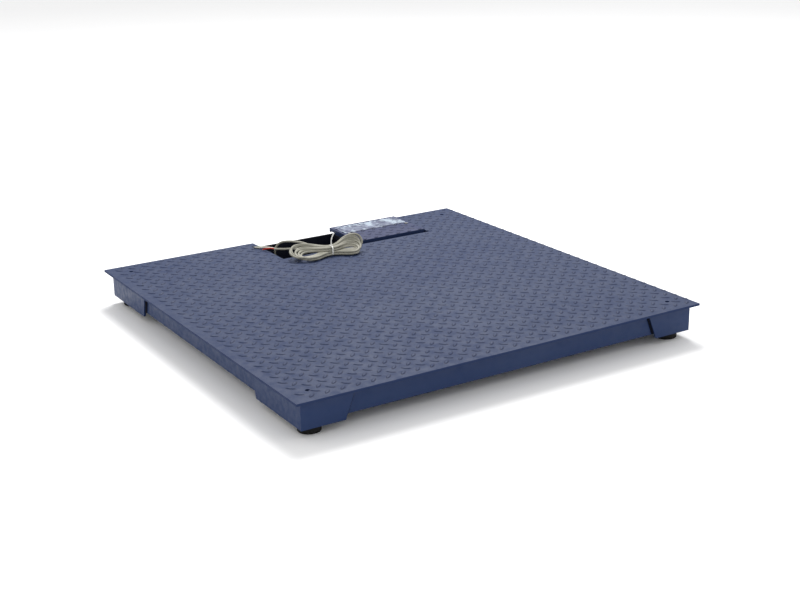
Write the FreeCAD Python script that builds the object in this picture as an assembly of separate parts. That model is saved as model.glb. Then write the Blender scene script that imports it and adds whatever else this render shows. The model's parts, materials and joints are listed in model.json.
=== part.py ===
"""Square floor scale for pallets: a treadplate platform on four load cells, with a cable bay.

Millimetres. The origin is on the floor under the middle of the platform, +Z up.
-Y is the front edge, +Y the back edge that the cable bay opens through, -X the left edge.
"""

import FreeCAD, Part
import math
import os

# ---- platform ----
DECK_SIDE = 1200.0
DECK_HALF = DECK_SIDE / 2
DECK_TOP = 98.0
DECK_THICKNESS = 6.0
DECK_UNDER = DECK_TOP - DECK_THICKNESS

# ---- perimeter channels between the corner boxes ----
SKIRT_INSET = 26.0
SKIRT_FACE = DECK_HALF - SKIRT_INSET
SKIRT_BOTTOM = 32.0
SKIRT_WALL = 6.0
SKIRT_FLANGE = 40.0

# ---- corner boxes, which stand proud of the channels ----
CORNER_INSET = 18.0
CORNER_FACE = DECK_HALF - CORNER_INSET
CORNER_BOTTOM = 22.0
CORNER_WALL = 6.0
CORNER_X_LOW, CORNER_X_HIGH = 115.0, 143.0
CORNER_Y_LOW, CORNER_Y_HIGH = 228.0, 247.0
POCKET_X = CORNER_FACE - CORNER_X_LOW + 3.0
POCKET_Y = CORNER_FACE - CORNER_Y_LOW - 3.0

# ---- load cells ----
FOOT_POSITION = DECK_HALF - 60.0
CELL_LENGTH, CELL_SIZE = 130.0, 32.0
CELL_BOTTOM = 45.0
CELL_TOP = CELL_BOTTOM + CELL_SIZE
CELL_FREE_END = 16.0
CELL_HOLES = (76.2, 101.6)
CELL_HOLE_RADIUS = 6.5
CELL_POCKET = (40.0, 11.0, 6.0)
SPACER_THICKNESS = 5.0
SPACER_TOP = CELL_TOP + SPACER_THICKNESS
BOLT_RADIUS = 5.95
BOLT_HEAD_HEIGHT, BOLT_HEAD_FLATS = 7.5, 18.0
WASHER_RADIUS, WASHER_THICKNESS = 12.0, 2.5

# ---- feet, with an M12 stud that ends in a ball ----
FOOT_TRAVEL = 20.0
STUD_RADIUS = 5.95
THREAD_HOLE_RADIUS = 6.0
LOCK_NUT_HEIGHT, LOCK_NUT_FLATS = 7.0, 19.0
FLANGE_HEIGHT, FLANGE_FLATS, FLANGE_GAP = 6.0, 17.0, 0.3
NECK_RADIUS = 5.0
BALL_RADIUS, BALL_HEIGHT = 7.5, 15.0
CUP_WALL, CUP_RIM = 3.0, 4.0
SEAT_CLEARANCE = 0.05
PAD_RADIUS, PAD_HEIGHT = 28.5, 22.0
PAD_BORE = 12.5
COLLAR_INNER, COLLAR_OUTER = 5.3, 8.5
COLLAR_BOTTOM, COLLAR_TOP = 24.2, 30.0
ACCESS_HOLE_RADIUS = 6.0
KEY_SOCKET_FLATS, KEY_SOCKET_DEPTH = 6.0, 8.0

# ---- ribs under the deck ----
RIB_BOTTOM = 56.0
RIB_WIDTH, RIB_WALL = 50.0, 5.0
RIB_ROWS = (-420.0, -250.0, -80.0, 90.0, 245.0)
RIB_REACH = SKIRT_FACE - SKIRT_FLANGE

# ---- cable bay ----
BAY_LEFT, BAY_RIGHT = -120.0, 395.0
BAY_FRONT = 395.0
BAY_FLOOR = 36.0
SHEET = 3.0
BAY_FLOOR_TOP = BAY_FLOOR + SHEET
BAY_BACK = SKIRT_FACE - SKIRT_WALL
TRIMMER_WIDTH = 36.0

# ---- bay cover ----
COVER_LEFT, COVER_RIGHT = 150.0, 391.0
COVER_FRONT, COVER_BACK = 414.0, DECK_HALF
COVER_TOP, COVER_PLATE = 103.0, 4.0
COVER_FLANGE_BOTTOM = 89.0
COVER_SCREWS = ((167.0, 500.0), (376.0, 500.0))
COVER_SCREW_RADIUS, COVER_SCREW_HEAD = 3.0, (5.5, 3.0)
LIP_WIDTH = 28.0
LEFT_BRACKET_X = 146.0
LABEL_BOX = (157.0, 383.0, 511.0, 586.0)
LABEL_THICKNESS = 0.4

# ---- junction box ----
JUNCTION_X, JUNCTION_Y = (212.0, 330.0), (428.0, 532.0)
JUNCTION_TOP, JUNCTION_WALL = 80.0, 3.0
GASKET_THICKNESS, LID_THICKNESS = 0.8, 5.0
LID_SCREW_INSET = 5.5
BOARD_HEIGHT, BOARD_THICKNESS = 56.0, 1.6
CELL_GLAND_X = (232.0, 258.0, 284.0, 310.0)
CELL_CABLE_Z = 50.0
CELL_CABLE_RADIUS = 2.75
CELL_CABLE_BEND = 28.0
CABLE_LANES = (322.0, 300.0)
CABLE_LINE_X = 500.0

# ---- signal cable ----
CABLE_RADIUS = 3.25
SIGNAL_GLAND_Y, SIGNAL_GLAND_Z = 480.0, 50.0
GLAND_LENGTH = 22.0
HANK_CENTRE = (0.0, 343.0)
HANK_TURN = -10.0
HANK_LENGTH, HANK_WIDTH, HANK_HEIGHT = 236.0, 76.0, 52.0
HANK_CORNER = 20.0
TIE_ALONG, TIE_WIDTH, TIE_THICKNESS = 16.0, 3.6, 1.2
TIE_TAIL = 34.0
CORE_RADIUS = 1.2

# The stretch from the gland, along the bay floor and up over the end that lies on the deck.
LEAD_ROUTE = (
    (190.0, 480.0, 50.0),
    (138.0, 480.0, 50.0),
    (94.0, 481.0, 43.5),
    (46.0, 486.0, 43.0),
    (-4.0, 494.0, 43.0),
    (-46.0, 503.0, 43.0),
    (-84.0, 509.0, 47.0),
    (-94.0, 508.0, 81.0),
    (-90.0, 500.0, 108.0),
    (-84.0, 480.0, 124.0),
    (-70.0, 452.0, 131.5),
    (-50.0, 424.0, 132.0),
    (-33.0, 399.0, 127.0),
    (-17.0, 375.0, 120.0),
)

# The stretch from the hank, across the corner of the bay and down on the deck.
END_ROUTE = (
    (-50.0, 380.0, 119.0),
    (-64.0, 408.0, 117.0),
    (-77.0, 436.0, 112.0),
    (-89.0, 462.0, 106.5),
    (-103.0, 487.0, 103.8),
)

# Each core's place in the cable's end face, across and up, then its route over the deck.
CORES = (
    ((-1.4, 1.3), (-111.0, 495.0, 105.4), (-122.0, 500.0, 105.0), (-134.0, 505.0, 102.2)),
    (
        (-1.4, -1.3),
        (-110.0, 498.0, 101.6),
        (-126.0, 512.0, 101.2),
        (-141.0, 527.0, 101.4),
        (-151.0, 543.0, 106.0),
    ),
    (
        (1.4, 1.3),
        (-108.0, 502.0, 105.0),
        (-119.0, 520.0, 104.0),
        (-130.0, 534.0, 102.0),
        (-143.0, 544.0, 101.4),
    ),
    (
        (1.4, -1.3),
        (-105.0, 502.0, 101.8),
        (-110.0, 520.0, 101.2),
        (-118.0, 537.0, 101.2),
        (-130.0, 552.0, 101.4),
    ),
)

CORNERS = {
    "front_left": (-1, -1),
    "front_right": (1, -1),
    "back_left": (-1, 1),
    "back_right": (1, 1),
}


def vector(x, y, z):
    return FreeCAD.Vector(x, y, z)


def box(x0, x1, y0, y1, z0, z1):
    """A block between two corners, given in either order."""
    x0, x1 = sorted((x0, x1))
    y0, y1 = sorted((y0, y1))
    z0, z1 = sorted((z0, z1))
    return Part.makeBox(x1 - x0, y1 - y0, z1 - z0, vector(x0, y0, z0))


def cylinder(radius, length, base, axis=(0, 0, 1)):
    return Part.makeCylinder(radius, length, vector(*base), vector(*axis))


def hexagon(flats, height, base, axis=(0, 0, 1)):
    """A hexagonal prism of a given size across its flats, along X, Y or Z."""
    radius = flats / math.sqrt(3)
    points = []
    for side in range(7):
        angle = math.radians(60 * side)
        points.append(vector(radius * math.cos(angle), radius * math.sin(angle), 0))
    prism = Part.Face(Part.makePolygon(points)).extrude(vector(0, 0, height))
    prism.Placement = FreeCAD.Placement(
        vector(*base), FreeCAD.Rotation(vector(0, 0, 1), vector(*axis))
    )
    return prism


def plate(points, thickness):
    """A flat plate: a closed outline pushed along a thickness vector."""
    outline = Part.makePolygon([vector(*p) for p in points] + [vector(*points[0])])
    return Part.Face(outline).extrude(vector(*thickness))


def join(shapes):
    """One solid from shapes that touch or overlap."""
    result = shapes[0]
    for shape in shapes[1:]:
        result = result.fuse(shape)
    return result.removeSplitter()


def cut(shape, tools):
    for tool in tools:
        shape = shape.cut(tool)
    return shape


def ring(base, axis, outer, inner, length):
    return cut(cylinder(outer, length, base, axis), [cylinder(inner, length, base, axis)])


def group(shapes):
    """Separate solids that share a node."""
    return Part.makeCompound(shapes)


def rounded_wire(points, bend=None):
    """Straight runs joined by tangent arcs, as one wire, with the radius of each arc.

    With no bend radius given, each arc is as large as its two runs allow.
    """
    corners = [vector(*p) for p in points]
    edges = []
    radii = []
    start = corners[0]
    for before, corner, after in zip(corners, corners[1:], corners[2:]):
        back = before - corner
        on = after - corner
        turn = math.pi - back.getAngle(on)
        radius = bend or 0.45 * min(back.Length, on.Length) / math.tan(turn / 2)
        reach = radius * math.tan(turn / 2)
        back.normalize()
        on.normalize()
        arc_start = corner + back * reach
        arc_end = corner + on * reach
        middle = (back + on).normalize()
        arc_middle = corner + middle * (radius / math.cos(turn / 2) - radius)
        edges.append(Part.LineSegment(start, arc_start).toShape())
        edges.append(Part.Arc(arc_start, arc_middle, arc_end).toShape())
        radii.append(radius)
        start = arc_end
    edges.append(Part.LineSegment(start, corners[-1]).toShape())
    return Part.Wire(edges), radii


def tube(name, points, radius, bend=None):
    """A solid cable along a route, with its volume compared with section times length."""
    wire, radii = rounded_wire(points, bend)
    direction = vector(*points[1]) - vector(*points[0])
    section = Part.Wire(Part.makeCircle(radius, vector(*points[0]), direction))
    solid = wire.makePipeShell([section], True, False)
    ratio = solid.Volume / (math.pi * radius**2 * wire.Length)
    print(
        f"{name}: length {wire.Length:.0f} mm, volume over section times length {ratio:.3f},"
        f" radii {', '.join(f'{r:.0f}' for r in radii)}"
    )
    return solid


# ---- platform and frame ----


def access_holes():
    holes = []
    for x, y in CORNERS.values():
        base = (x * FOOT_POSITION, y * FOOT_POSITION, DECK_UNDER - 1)
        holes.append(cylinder(ACCESS_HOLE_RADIUS, DECK_THICKNESS + 2, base))
    return holes


def deck_plate():
    """The deck, with the bay cut out of its back edge and a hole over each foot."""
    deck = box(-DECK_HALF, DECK_HALF, -DECK_HALF, DECK_HALF, DECK_UNDER, DECK_TOP)
    bay = box(BAY_LEFT, BAY_RIGHT, BAY_FRONT, DECK_HALF + 1, DECK_UNDER - 1, DECK_TOP + 1)
    return cut(deck, [bay] + access_holes())


def channel_x(side, reach):
    """A perimeter channel along X, open towards the middle of the platform."""
    face = side * SKIRT_FACE
    inner = side * (SKIRT_FACE - SKIRT_FLANGE)
    web = box(-reach, reach, face, side * (SKIRT_FACE - SKIRT_WALL), SKIRT_BOTTOM, DECK_UNDER)
    low = box(-reach, reach, face, inner, SKIRT_BOTTOM, SKIRT_BOTTOM + SKIRT_WALL)
    high = box(-reach, reach, face, inner, DECK_UNDER - SKIRT_WALL, DECK_UNDER)
    return join([web, low, high])


def front_skirt():
    return channel_x(-1, POCKET_X)


def back_skirt():
    """The back channel, without flanges where the bay stands against it."""
    edge = SHEET + 1.0
    inner = SKIRT_FACE - SKIRT_FLANGE - 1
    gap = box(BAY_LEFT - edge, BAY_RIGHT + edge, inner, BAY_BACK, SKIRT_BOTTOM - 1, DECK_UNDER + 1)
    return cut(channel_x(1, POCKET_X), [gap])


def side_skirt(side):
    """The channel along the left or right edge."""
    face = side * SKIRT_FACE
    inner = side * (SKIRT_FACE - SKIRT_FLANGE)
    reach = POCKET_Y
    web = box(face, side * (SKIRT_FACE - SKIRT_WALL), -reach, reach, SKIRT_BOTTOM, DECK_UNDER)
    low = box(face, inner, -reach, reach, SKIRT_BOTTOM, SKIRT_BOTTOM + SKIRT_WALL)
    high = box(face, inner, -reach, reach, DECK_UNDER - SKIRT_WALL, DECK_UNDER)
    return join([web, low, high])


def corner_box(sx, sy):
    """Two slanted-edge outer plates and two inner walls around a load cell, open below."""
    face = CORNER_FACE
    inside = face - CORNER_WALL
    z0, z1 = CORNER_BOTTOM, DECK_UNDER
    x_plate = plate(
        [
            (sx * face, sy * face, z0),
            (sx * (face - CORNER_X_LOW), sy * face, z0),
            (sx * (face - CORNER_X_HIGH), sy * face, z1),
            (sx * face, sy * face, z1),
        ],
        (0, -sy * CORNER_WALL, 0),
    )
    y_plate = plate(
        [
            (sx * face, sy * inside, z0),
            (sx * face, sy * (face - CORNER_Y_LOW), z0),
            (sx * face, sy * (face - CORNER_Y_HIGH), z1),
            (sx * face, sy * inside, z1),
        ],
        (-sx * CORNER_WALL, 0, 0),
    )
    low = SKIRT_BOTTOM
    outer_x = POCKET_X + CORNER_WALL
    outer_y = POCKET_Y + CORNER_WALL
    x_wall = box(sx * POCKET_X, sx * outer_x, sy * POCKET_Y, sy * inside, low, z1)
    y_wall = box(sx * outer_x, sx * inside, sy * POCKET_Y, sy * outer_y, low, z1)
    cable_hole = cylinder(
        7.0, CORNER_WALL + 2, (sx * FOOT_POSITION, POCKET_Y * sy - sy, CELL_CABLE_Z), (0, sy, 0)
    )
    return cut(join([x_plate, y_plate, x_wall, y_wall]), [cable_hole])


def deck_rib(row):
    """A channel rib across the platform, open downwards, under the deck."""
    reach = POCKET_X if abs(row) > POCKET_Y else RIB_REACH
    y0, y1 = row - RIB_WIDTH / 2, row + RIB_WIDTH / 2
    outer = box(-reach, reach, y0, y1, RIB_BOTTOM, DECK_UNDER)
    hollow = box(-reach - 1, reach + 1, y0 + RIB_WALL, y1 - RIB_WALL, RIB_BOTTOM - 1, DECK_UNDER - RIB_WALL)
    return cut(outer, [hollow])


def bay_beams():
    """Bars that carry the deck's edge around the bay."""
    front_edge = BAY_FRONT - SHEET
    front = box(-POCKET_X, POCKET_X, front_edge - TRIMMER_WIDTH, front_edge, RIB_BOTTOM, DECK_UNDER)
    back = SKIRT_FACE - SKIRT_FLANGE
    left_edge = BAY_LEFT - SHEET
    right_edge = BAY_RIGHT + SHEET
    left = box(left_edge - TRIMMER_WIDTH, left_edge, front_edge, back, RIB_BOTTOM, DECK_UNDER)
    right = box(right_edge, right_edge + TRIMMER_WIDTH, front_edge, back, RIB_BOTTOM, DECK_UNDER)
    return group([front, left, right])


# ---- load cells and their fixings, one set in each corner ----


def cell_x(sx):
    return sx * FOOT_POSITION


def cell_y(sy, from_foot):
    """A place along a load cell, by its distance from the foot towards the middle."""
    return sy * (FOOT_POSITION - from_foot)


def load_cell(sx, sy):
    """A shear-beam load cell: free end over the foot, fixed end under the mounting plate."""
    half = CELL_SIZE / 2
    x = cell_x(sx)
    y_free = cell_y(sy, -CELL_FREE_END)
    y_fixed = cell_y(sy, CELL_LENGTH - CELL_FREE_END)
    beam = box(x - half, x + half, y_free, y_fixed, CELL_BOTTOM, CELL_TOP)
    along = [e for e in beam.Edges if abs(e.tangentAt(e.FirstParameter).y) > 0.9]
    beam = beam.makeChamfer(1.0, along)
    holes = [cylinder(THREAD_HOLE_RADIUS, CELL_SIZE + 2, (x, cell_y(sy, 0), CELL_BOTTOM - 1))]
    for place in CELL_HOLES:
        holes.append(cylinder(CELL_HOLE_RADIUS, CELL_SIZE + 2, (x, cell_y(sy, place), CELL_BOTTOM - 1)))
    place, radius, depth = CELL_POCKET
    middle = (CELL_BOTTOM + CELL_TOP) / 2
    for side in (-1, 1):
        start = (x + side * (half - depth), cell_y(sy, place), middle)
        holes.append(cylinder(radius, depth + 1, start, (side, 0, 0)))
    beam = cut(beam, holes)
    nipple = cylinder(4.5, 10, (x, y_fixed + sy, CELL_CABLE_Z), (0, -sy, 0))
    bore = cylinder(CELL_CABLE_RADIUS + 0.05, 12, (x, y_fixed + sy, CELL_CABLE_Z), (0, -sy, 0))
    return cut(join([beam, nipple]), [bore])


def cell_seals():
    """The pressed caps that close the gauge pockets on both sides of each load cell."""
    place, radius, depth = CELL_POCKET
    middle = (CELL_BOTTOM + CELL_TOP) / 2
    caps = []
    for sx, sy in CORNERS.values():
        for side in (-1, 1):
            start = (cell_x(sx) + side * (CELL_SIZE / 2 - 2.0), cell_y(sy, place), middle)
            caps.append(cylinder(radius - 0.02, 1.2, start, (side, 0, 0)))
    return group(caps)


def cell_block(sx, sy, z0, z1, half_width, hole_radius):
    """A flat block over the fixed end of a load cell, with its two bolt holes."""
    x = cell_x(sx)
    y0 = cell_y(sy, CELL_HOLES[0] - 19)
    y1 = cell_y(sy, CELL_LENGTH - CELL_FREE_END)
    block = box(x - half_width, x + half_width, y0, y1, z0, z1)
    holes = [cylinder(hole_radius, z1 - z0 + 2, (x, cell_y(sy, p), z0 - 1)) for p in CELL_HOLES]
    return cut(block, holes)


def cell_mount_plates():
    plates = []
    for sx, sy in CORNERS.values():
        plates.append(cell_block(sx, sy, SPACER_TOP, DECK_UNDER, 32.0, THREAD_HOLE_RADIUS))
    return group(plates)


def cell_spacers():
    spacers = []
    for sx, sy in CORNERS.values():
        spacers.append(cell_block(sx, sy, CELL_TOP, SPACER_TOP, CELL_SIZE / 2, CELL_HOLE_RADIUS))
    return group(spacers)


def cell_bolts():
    """Two hexagon bolts through each load cell into its mounting plate, with their washers."""
    bolts = []
    for sx, sy in CORNERS.values():
        for place in CELL_HOLES:
            x, y = cell_x(sx), cell_y(sy, place)
            head_bottom = CELL_BOTTOM - WASHER_THICKNESS - BOLT_HEAD_HEIGHT
            head = hexagon(BOLT_HEAD_FLATS, BOLT_HEAD_HEIGHT, (x, y, head_bottom))
            shank_top = DECK_UNDER - 0.5
            shank_bottom = head_bottom + BOLT_HEAD_HEIGHT - 0.5
            shank = cylinder(BOLT_RADIUS, shank_top - shank_bottom, (x, y, shank_bottom))
            bolts.append(join([head, shank]))
            base = (x, y, CELL_BOTTOM - WASHER_THICKNESS)
            bolts.append(ring(base, (0, 0, 1), WASHER_RADIUS, BOLT_RADIUS + 0.3, WASHER_THICKNESS))
    return group(bolts)


# ---- feet ----


def foot_stud(x, y):
    """The stud: threaded stem with a key socket in its top, hexagon flange, neck and ball."""
    flange_top = CELL_BOTTOM - LOCK_NUT_HEIGHT - FLANGE_GAP
    flange_bottom = flange_top - FLANGE_HEIGHT
    stem_top = CELL_TOP - 1
    ball = Part.makeSphere(BALL_RADIUS, vector(x, y, BALL_HEIGHT))
    neck = cylinder(NECK_RADIUS, flange_bottom - BALL_HEIGHT + 1, (x, y, BALL_HEIGHT))
    flange = hexagon(FLANGE_FLATS, FLANGE_HEIGHT, (x, y, flange_bottom))
    stem = cylinder(STUD_RADIUS, stem_top - flange_top + 1, (x, y, flange_top - 1))
    socket = hexagon(KEY_SOCKET_FLATS, KEY_SOCKET_DEPTH + 1, (x, y, stem_top - KEY_SOCKET_DEPTH))
    return cut(join([ball, neck, flange, stem]), [socket])


def foot_lock_nuts():
    """A thin nut under each load cell, which the stud passes with clearance."""
    nuts = []
    for sx, sy in CORNERS.values():
        base = (sx * FOOT_POSITION, sy * FOOT_POSITION, CELL_BOTTOM - LOCK_NUT_HEIGHT)
        nut = hexagon(LOCK_NUT_FLATS, LOCK_NUT_HEIGHT, base)
        nuts.append(cut(nut, [cylinder(THREAD_HOLE_RADIUS, LOCK_NUT_HEIGHT, base)]))
    return group(nuts)


def foot_collar(x, y):
    """The ring around the stud's neck that keeps the ball in its cup."""
    height = COLLAR_TOP - COLLAR_BOTTOM
    return ring((x, y, COLLAR_BOTTOM), (0, 0, 1), COLLAR_OUTER, COLLAR_INNER, height)


def foot_cup(x, y):
    """A steel bowl: round inside on the ball, round outside in the pad."""
    centre = vector(x, y, BALL_HEIGHT)
    outer = Part.makeSphere(BALL_RADIUS + SEAT_CLEARANCE + CUP_WALL, centre)
    inner = Part.makeSphere(BALL_RADIUS + SEAT_CLEARANCE, centre)
    top = box(x - 20, x + 20, y - 20, y + 20, BALL_HEIGHT + CUP_RIM, BALL_HEIGHT + 20)
    return cut(outer, [inner, top])


def foot_pad(x, y):
    """The rubber pad, with a round seat for the cup and a wider bore above it."""
    pad = cylinder(PAD_RADIUS, PAD_HEIGHT, (x, y, 0))
    rims = [e for e in pad.Edges if isinstance(e.Curve, Part.Circle)]
    pad = pad.makeChamfer(1.5, rims)
    seat_radius = BALL_RADIUS + CUP_WALL + 2 * SEAT_CLEARANCE
    seat = Part.makeSphere(seat_radius, vector(x, y, BALL_HEIGHT))
    bore = cylinder(PAD_BORE, PAD_HEIGHT, (x, y, BALL_HEIGHT))
    return cut(pad, [seat, bore])


# ---- cable bay ----


def bay_tray():
    """Folded sheet that forms the bay's floor, sides and front wall."""
    y0, y1 = BAY_FRONT - SHEET, BAY_BACK
    x0, x1 = BAY_LEFT - SHEET, BAY_RIGHT + SHEET
    floor = box(x0, x1, y0, y1, BAY_FLOOR, BAY_FLOOR_TOP)
    front = box(x0, x1, y0, BAY_FRONT, BAY_FLOOR, DECK_UNDER)
    left = box(x0, BAY_LEFT, y0, y1, BAY_FLOOR, DECK_UNDER)
    right = box(BAY_RIGHT, x1, y0, y1, BAY_FLOOR, DECK_UNDER)
    holes = [cylinder(6.0, SHEET + 2, (x, y0 - 1, CELL_CABLE_Z), (0, 1, 0)) for x in CELL_GLAND_X]
    return cut(join([floor, front, left, right]), holes)


def cover_bracket(wall_x0, wall_x1, lip_x0, lip_x1, cable_hole):
    """A sheet wall on the bay floor, with a lip on top that the cover stands on."""
    y0, y1 = COVER_FRONT, BAY_BACK - 2
    lip_top = COVER_FLANGE_BOTTOM
    wall = box(wall_x0, wall_x1, y0, y1, BAY_FLOOR_TOP, lip_top)
    lip = box(lip_x0, lip_x1, y0, y1, lip_top - SHEET, lip_top)
    tools = []
    for x, y in COVER_SCREWS:
        tools.append(cylinder(COVER_SCREW_RADIUS + 0.3, 2 * SHEET, (x, y, lip_top - 1.5 * SHEET)))
    if cable_hole:
        start = (wall_x0 - 1, SIGNAL_GLAND_Y, SIGNAL_GLAND_Z)
        tools.append(cylinder(8.0, SHEET + 2, start, (1, 0, 0)))
    return cut(join([wall, lip]), tools)


def cover_brackets():
    x = LEFT_BRACKET_X
    left = cover_bracket(x, x + SHEET, x, x + LIP_WIDTH, True)
    right = cover_bracket(BAY_RIGHT - SHEET, BAY_RIGHT, BAY_RIGHT - LIP_WIDTH, BAY_RIGHT, False)
    return {"cover_bracket_left": left, "cover_bracket_right": right}


def bay_cover():
    """The lift-off cover: a plate with folded edges, proud of the deck."""
    z0, z1 = COVER_TOP - COVER_PLATE, COVER_TOP
    low = COVER_FLANGE_BOTTOM
    side_end = BAY_BACK - 4
    top = box(COVER_LEFT, COVER_RIGHT, COVER_FRONT, COVER_BACK, z0, z1)
    left = box(COVER_LEFT, COVER_LEFT + SHEET, COVER_FRONT, side_end, low, z0)
    right = box(COVER_RIGHT - SHEET, COVER_RIGHT, COVER_FRONT, side_end, low, z0)
    over_skirt = DECK_UNDER + 1
    left_end = box(COVER_LEFT, COVER_LEFT + SHEET, side_end, COVER_BACK, over_skirt, z0)
    right_end = box(COVER_RIGHT - SHEET, COVER_RIGHT, side_end, COVER_BACK, over_skirt, z0)
    front = box(COVER_LEFT, COVER_RIGHT, COVER_FRONT, COVER_FRONT + SHEET, low, z0)
    back = box(COVER_LEFT, COVER_RIGHT, COVER_BACK - SHEET, COVER_BACK, low, z0)
    holes = [cylinder(COVER_SCREW_RADIUS + 0.3, COVER_PLATE + 2, (x, y, z0 - 1)) for x, y in COVER_SCREWS]
    return cut(join([top, left, right, left_end, right_end, front, back]), holes)


def cover_screws():
    """Round-headed screws that hold the cover to its brackets."""
    head_radius, head_height = COVER_SCREW_HEAD
    screws = []
    for x, y in COVER_SCREWS:
        head = cylinder(head_radius, head_height, (x, y, COVER_TOP))
        shank = cylinder(COVER_SCREW_RADIUS, 22, (x, y, COVER_TOP - 20))
        socket = hexagon(4.0, 2.5, (x, y, COVER_TOP + 1))
        screws.append(cut(join([head, shank]), [socket]))
    return group(screws)


def cover_label():
    """A blank plastic strip on the back half of the cover."""
    x0, x1, y0, y1 = LABEL_BOX
    return box(x0, x1, y0, y1, COVER_TOP, COVER_TOP + LABEL_THICKNESS)


# ---- junction box ----


def junction_corners():
    inset = LID_SCREW_INSET
    places = []
    for x in (JUNCTION_X[0] + inset, JUNCTION_X[1] - inset):
        for y in (JUNCTION_Y[0] + inset, JUNCTION_Y[1] - inset):
            places.append((x, y))
    return places


def junction_body():
    """An open box with a screw post in each corner and a hole for each gland."""
    (x0, x1), (y0, y1) = JUNCTION_X, JUNCTION_Y
    wall = JUNCTION_WALL
    outer = box(x0, x1, y0, y1, BAY_FLOOR_TOP, JUNCTION_TOP)
    inner = box(x0 + wall, x1 - wall, y0 + wall, y1 - wall, BAY_FLOOR_TOP + wall, JUNCTION_TOP + 1)
    posts = []
    for x, y in junction_corners():
        posts.append(box(x - 5.5, x + 5.5, y - 5.5, y + 5.5, BAY_FLOOR_TOP, JUNCTION_TOP))
    holes = [cylinder(1.6, 12, (x, y, JUNCTION_TOP - 11)) for x, y in junction_corners()]
    for x in CELL_GLAND_X:
        holes.append(cylinder(6.0, wall + 2, (x, y0 - 1, CELL_CABLE_Z), (0, 1, 0)))
    holes.append(cylinder(6.5, wall + 2, (x0 - 1, SIGNAL_GLAND_Y, SIGNAL_GLAND_Z), (1, 0, 0)))
    return cut(join([cut(outer, [inner])] + posts), holes)


def junction_gasket():
    (x0, x1), (y0, y1) = JUNCTION_X, JUNCTION_Y
    z0, z1 = JUNCTION_TOP, JUNCTION_TOP + GASKET_THICKNESS
    seal = box(x0, x1, y0, y1, z0, z1)
    tools = [box(x0 + 11, x1 - 11, y0 + 11, y1 - 11, z0 - 1, z1 + 1)]
    tools += [cylinder(1.8, 3, (x, y, z0 - 1)) for x, y in junction_corners()]
    return cut(seal, tools)


def junction_lid():
    (x0, x1), (y0, y1) = JUNCTION_X, JUNCTION_Y
    z0 = JUNCTION_TOP + GASKET_THICKNESS
    lid = box(x0, x1, y0, y1, z0, z0 + LID_THICKNESS)
    top_edges = [e for e in lid.Edges if e.BoundBox.ZMin > z0 + LID_THICKNESS - 0.1]
    lid = lid.makeChamfer(1.2, top_edges)
    tools = []
    for x, y in junction_corners():
        tools.append(cylinder(1.8, LID_THICKNESS + 2, (x, y, z0 - 1)))
        tools.append(cylinder(3.4, LID_THICKNESS, (x, y, z0 + 2.5)))
    return cut(lid, tools)


def junction_screws():
    z0 = JUNCTION_TOP + GASKET_THICKNESS + 2.5
    screws = []
    for x, y in junction_corners():
        head = cylinder(3.0, 2.2, (x, y, z0))
        shank = cylinder(1.5, 12.5, (x, y, z0 - 12))
        slot = box(x - 4, x + 4, y - 0.4, y + 0.4, z0 + 1.4, z0 + 3)
        screws.append(cut(join([head, shank]), [slot]))
    return group(screws)


def circuit_board():
    """The summing board on four posts."""
    (x0, x1), (y0, y1) = JUNCTION_X, JUNCTION_Y
    board = box(x0 + 15, x1 - 12, y0 + 14, y1 - 10, BOARD_HEIGHT, BOARD_HEIGHT + BOARD_THICKNESS)
    post_bottom = BAY_FLOOR_TOP + JUNCTION_WALL
    posts = []
    for x in (x0 + 19, x1 - 14):
        for y in (y0 + 18, y1 - 14):
            posts.append(cylinder(2.5, BOARD_HEIGHT - post_bottom, (x, y, post_bottom)))
    return join([board] + posts)


def terminal_blocks():
    """A screw terminal for each load cell and one for the signal cable."""
    z0 = BOARD_HEIGHT + BOARD_THICKNESS
    blocks = []
    for x in CELL_GLAND_X:
        y = JUNCTION_Y[0] + 22
        block = box(x - 10, x + 10, y - 5, y + 5, z0, z0 + 10)
        holes = [cylinder(1.8, 3, (x + step, y, z0 + 8)) for step in (-7, -2.3, 2.3, 7)]
        blocks.append(cut(block, holes))
    x = JUNCTION_X[0] + 24
    block = box(x - 5, x + 5, SIGNAL_GLAND_Y - 14, SIGNAL_GLAND_Y + 16, z0, z0 + 10)
    holes = [cylinder(1.8, 3, (x, SIGNAL_GLAND_Y + step, z0 + 8)) for step in (-9, -3, 3, 9)]
    blocks.append(cut(block, holes))
    return group(blocks)


def trim_pots():
    """One adjuster on the board for each load cell."""
    z0 = BOARD_HEIGHT + BOARD_THICKNESS
    pots = []
    for x in CELL_GLAND_X:
        y = JUNCTION_Y[0] + 80
        body = box(x - 4, x + 4, y - 6, y + 6, z0, z0 + 8)
        pots.append(join([body, cylinder(1.5, 2, (x, y, z0 + 7))]))
    return group(pots)


def gland(base, axis, bore):
    """A cable gland: thread through the wall, hexagon, and a domed clamping nut."""
    direction = vector(*axis)
    start = vector(*base)

    def at(distance):
        point = start + direction * distance
        return (point.x, point.y, point.z)

    thread = cylinder(5.8, 7.0, at(-6.0), axis)
    inner_nut = hexagon(13.0, 3.0, at(-JUNCTION_WALL - 3.0), axis)
    flange = hexagon(17.0, 5.0, at(0), axis)
    nut = cylinder(8.0, 9.0, at(4.5), axis)
    dome = Part.makeCone(8.0, bore + 1.6, GLAND_LENGTH - 13.0, vector(*at(13.0)), direction)
    body = join([thread, inner_nut, flange, nut, dome])
    return cut(body, [cylinder(bore, GLAND_LENGTH + 12.0, at(-8.0), axis)])


def cell_glands():
    return group([gland((x, JUNCTION_Y[0], CELL_CABLE_Z), (0, -1, 0), 2.8) for x in CELL_GLAND_X])


def signal_gland():
    return gland((JUNCTION_X[0], SIGNAL_GLAND_Y, SIGNAL_GLAND_Z), (-1, 0, 0), CABLE_RADIUS + 0.05)


# ---- cables held inside the frame ----


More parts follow.
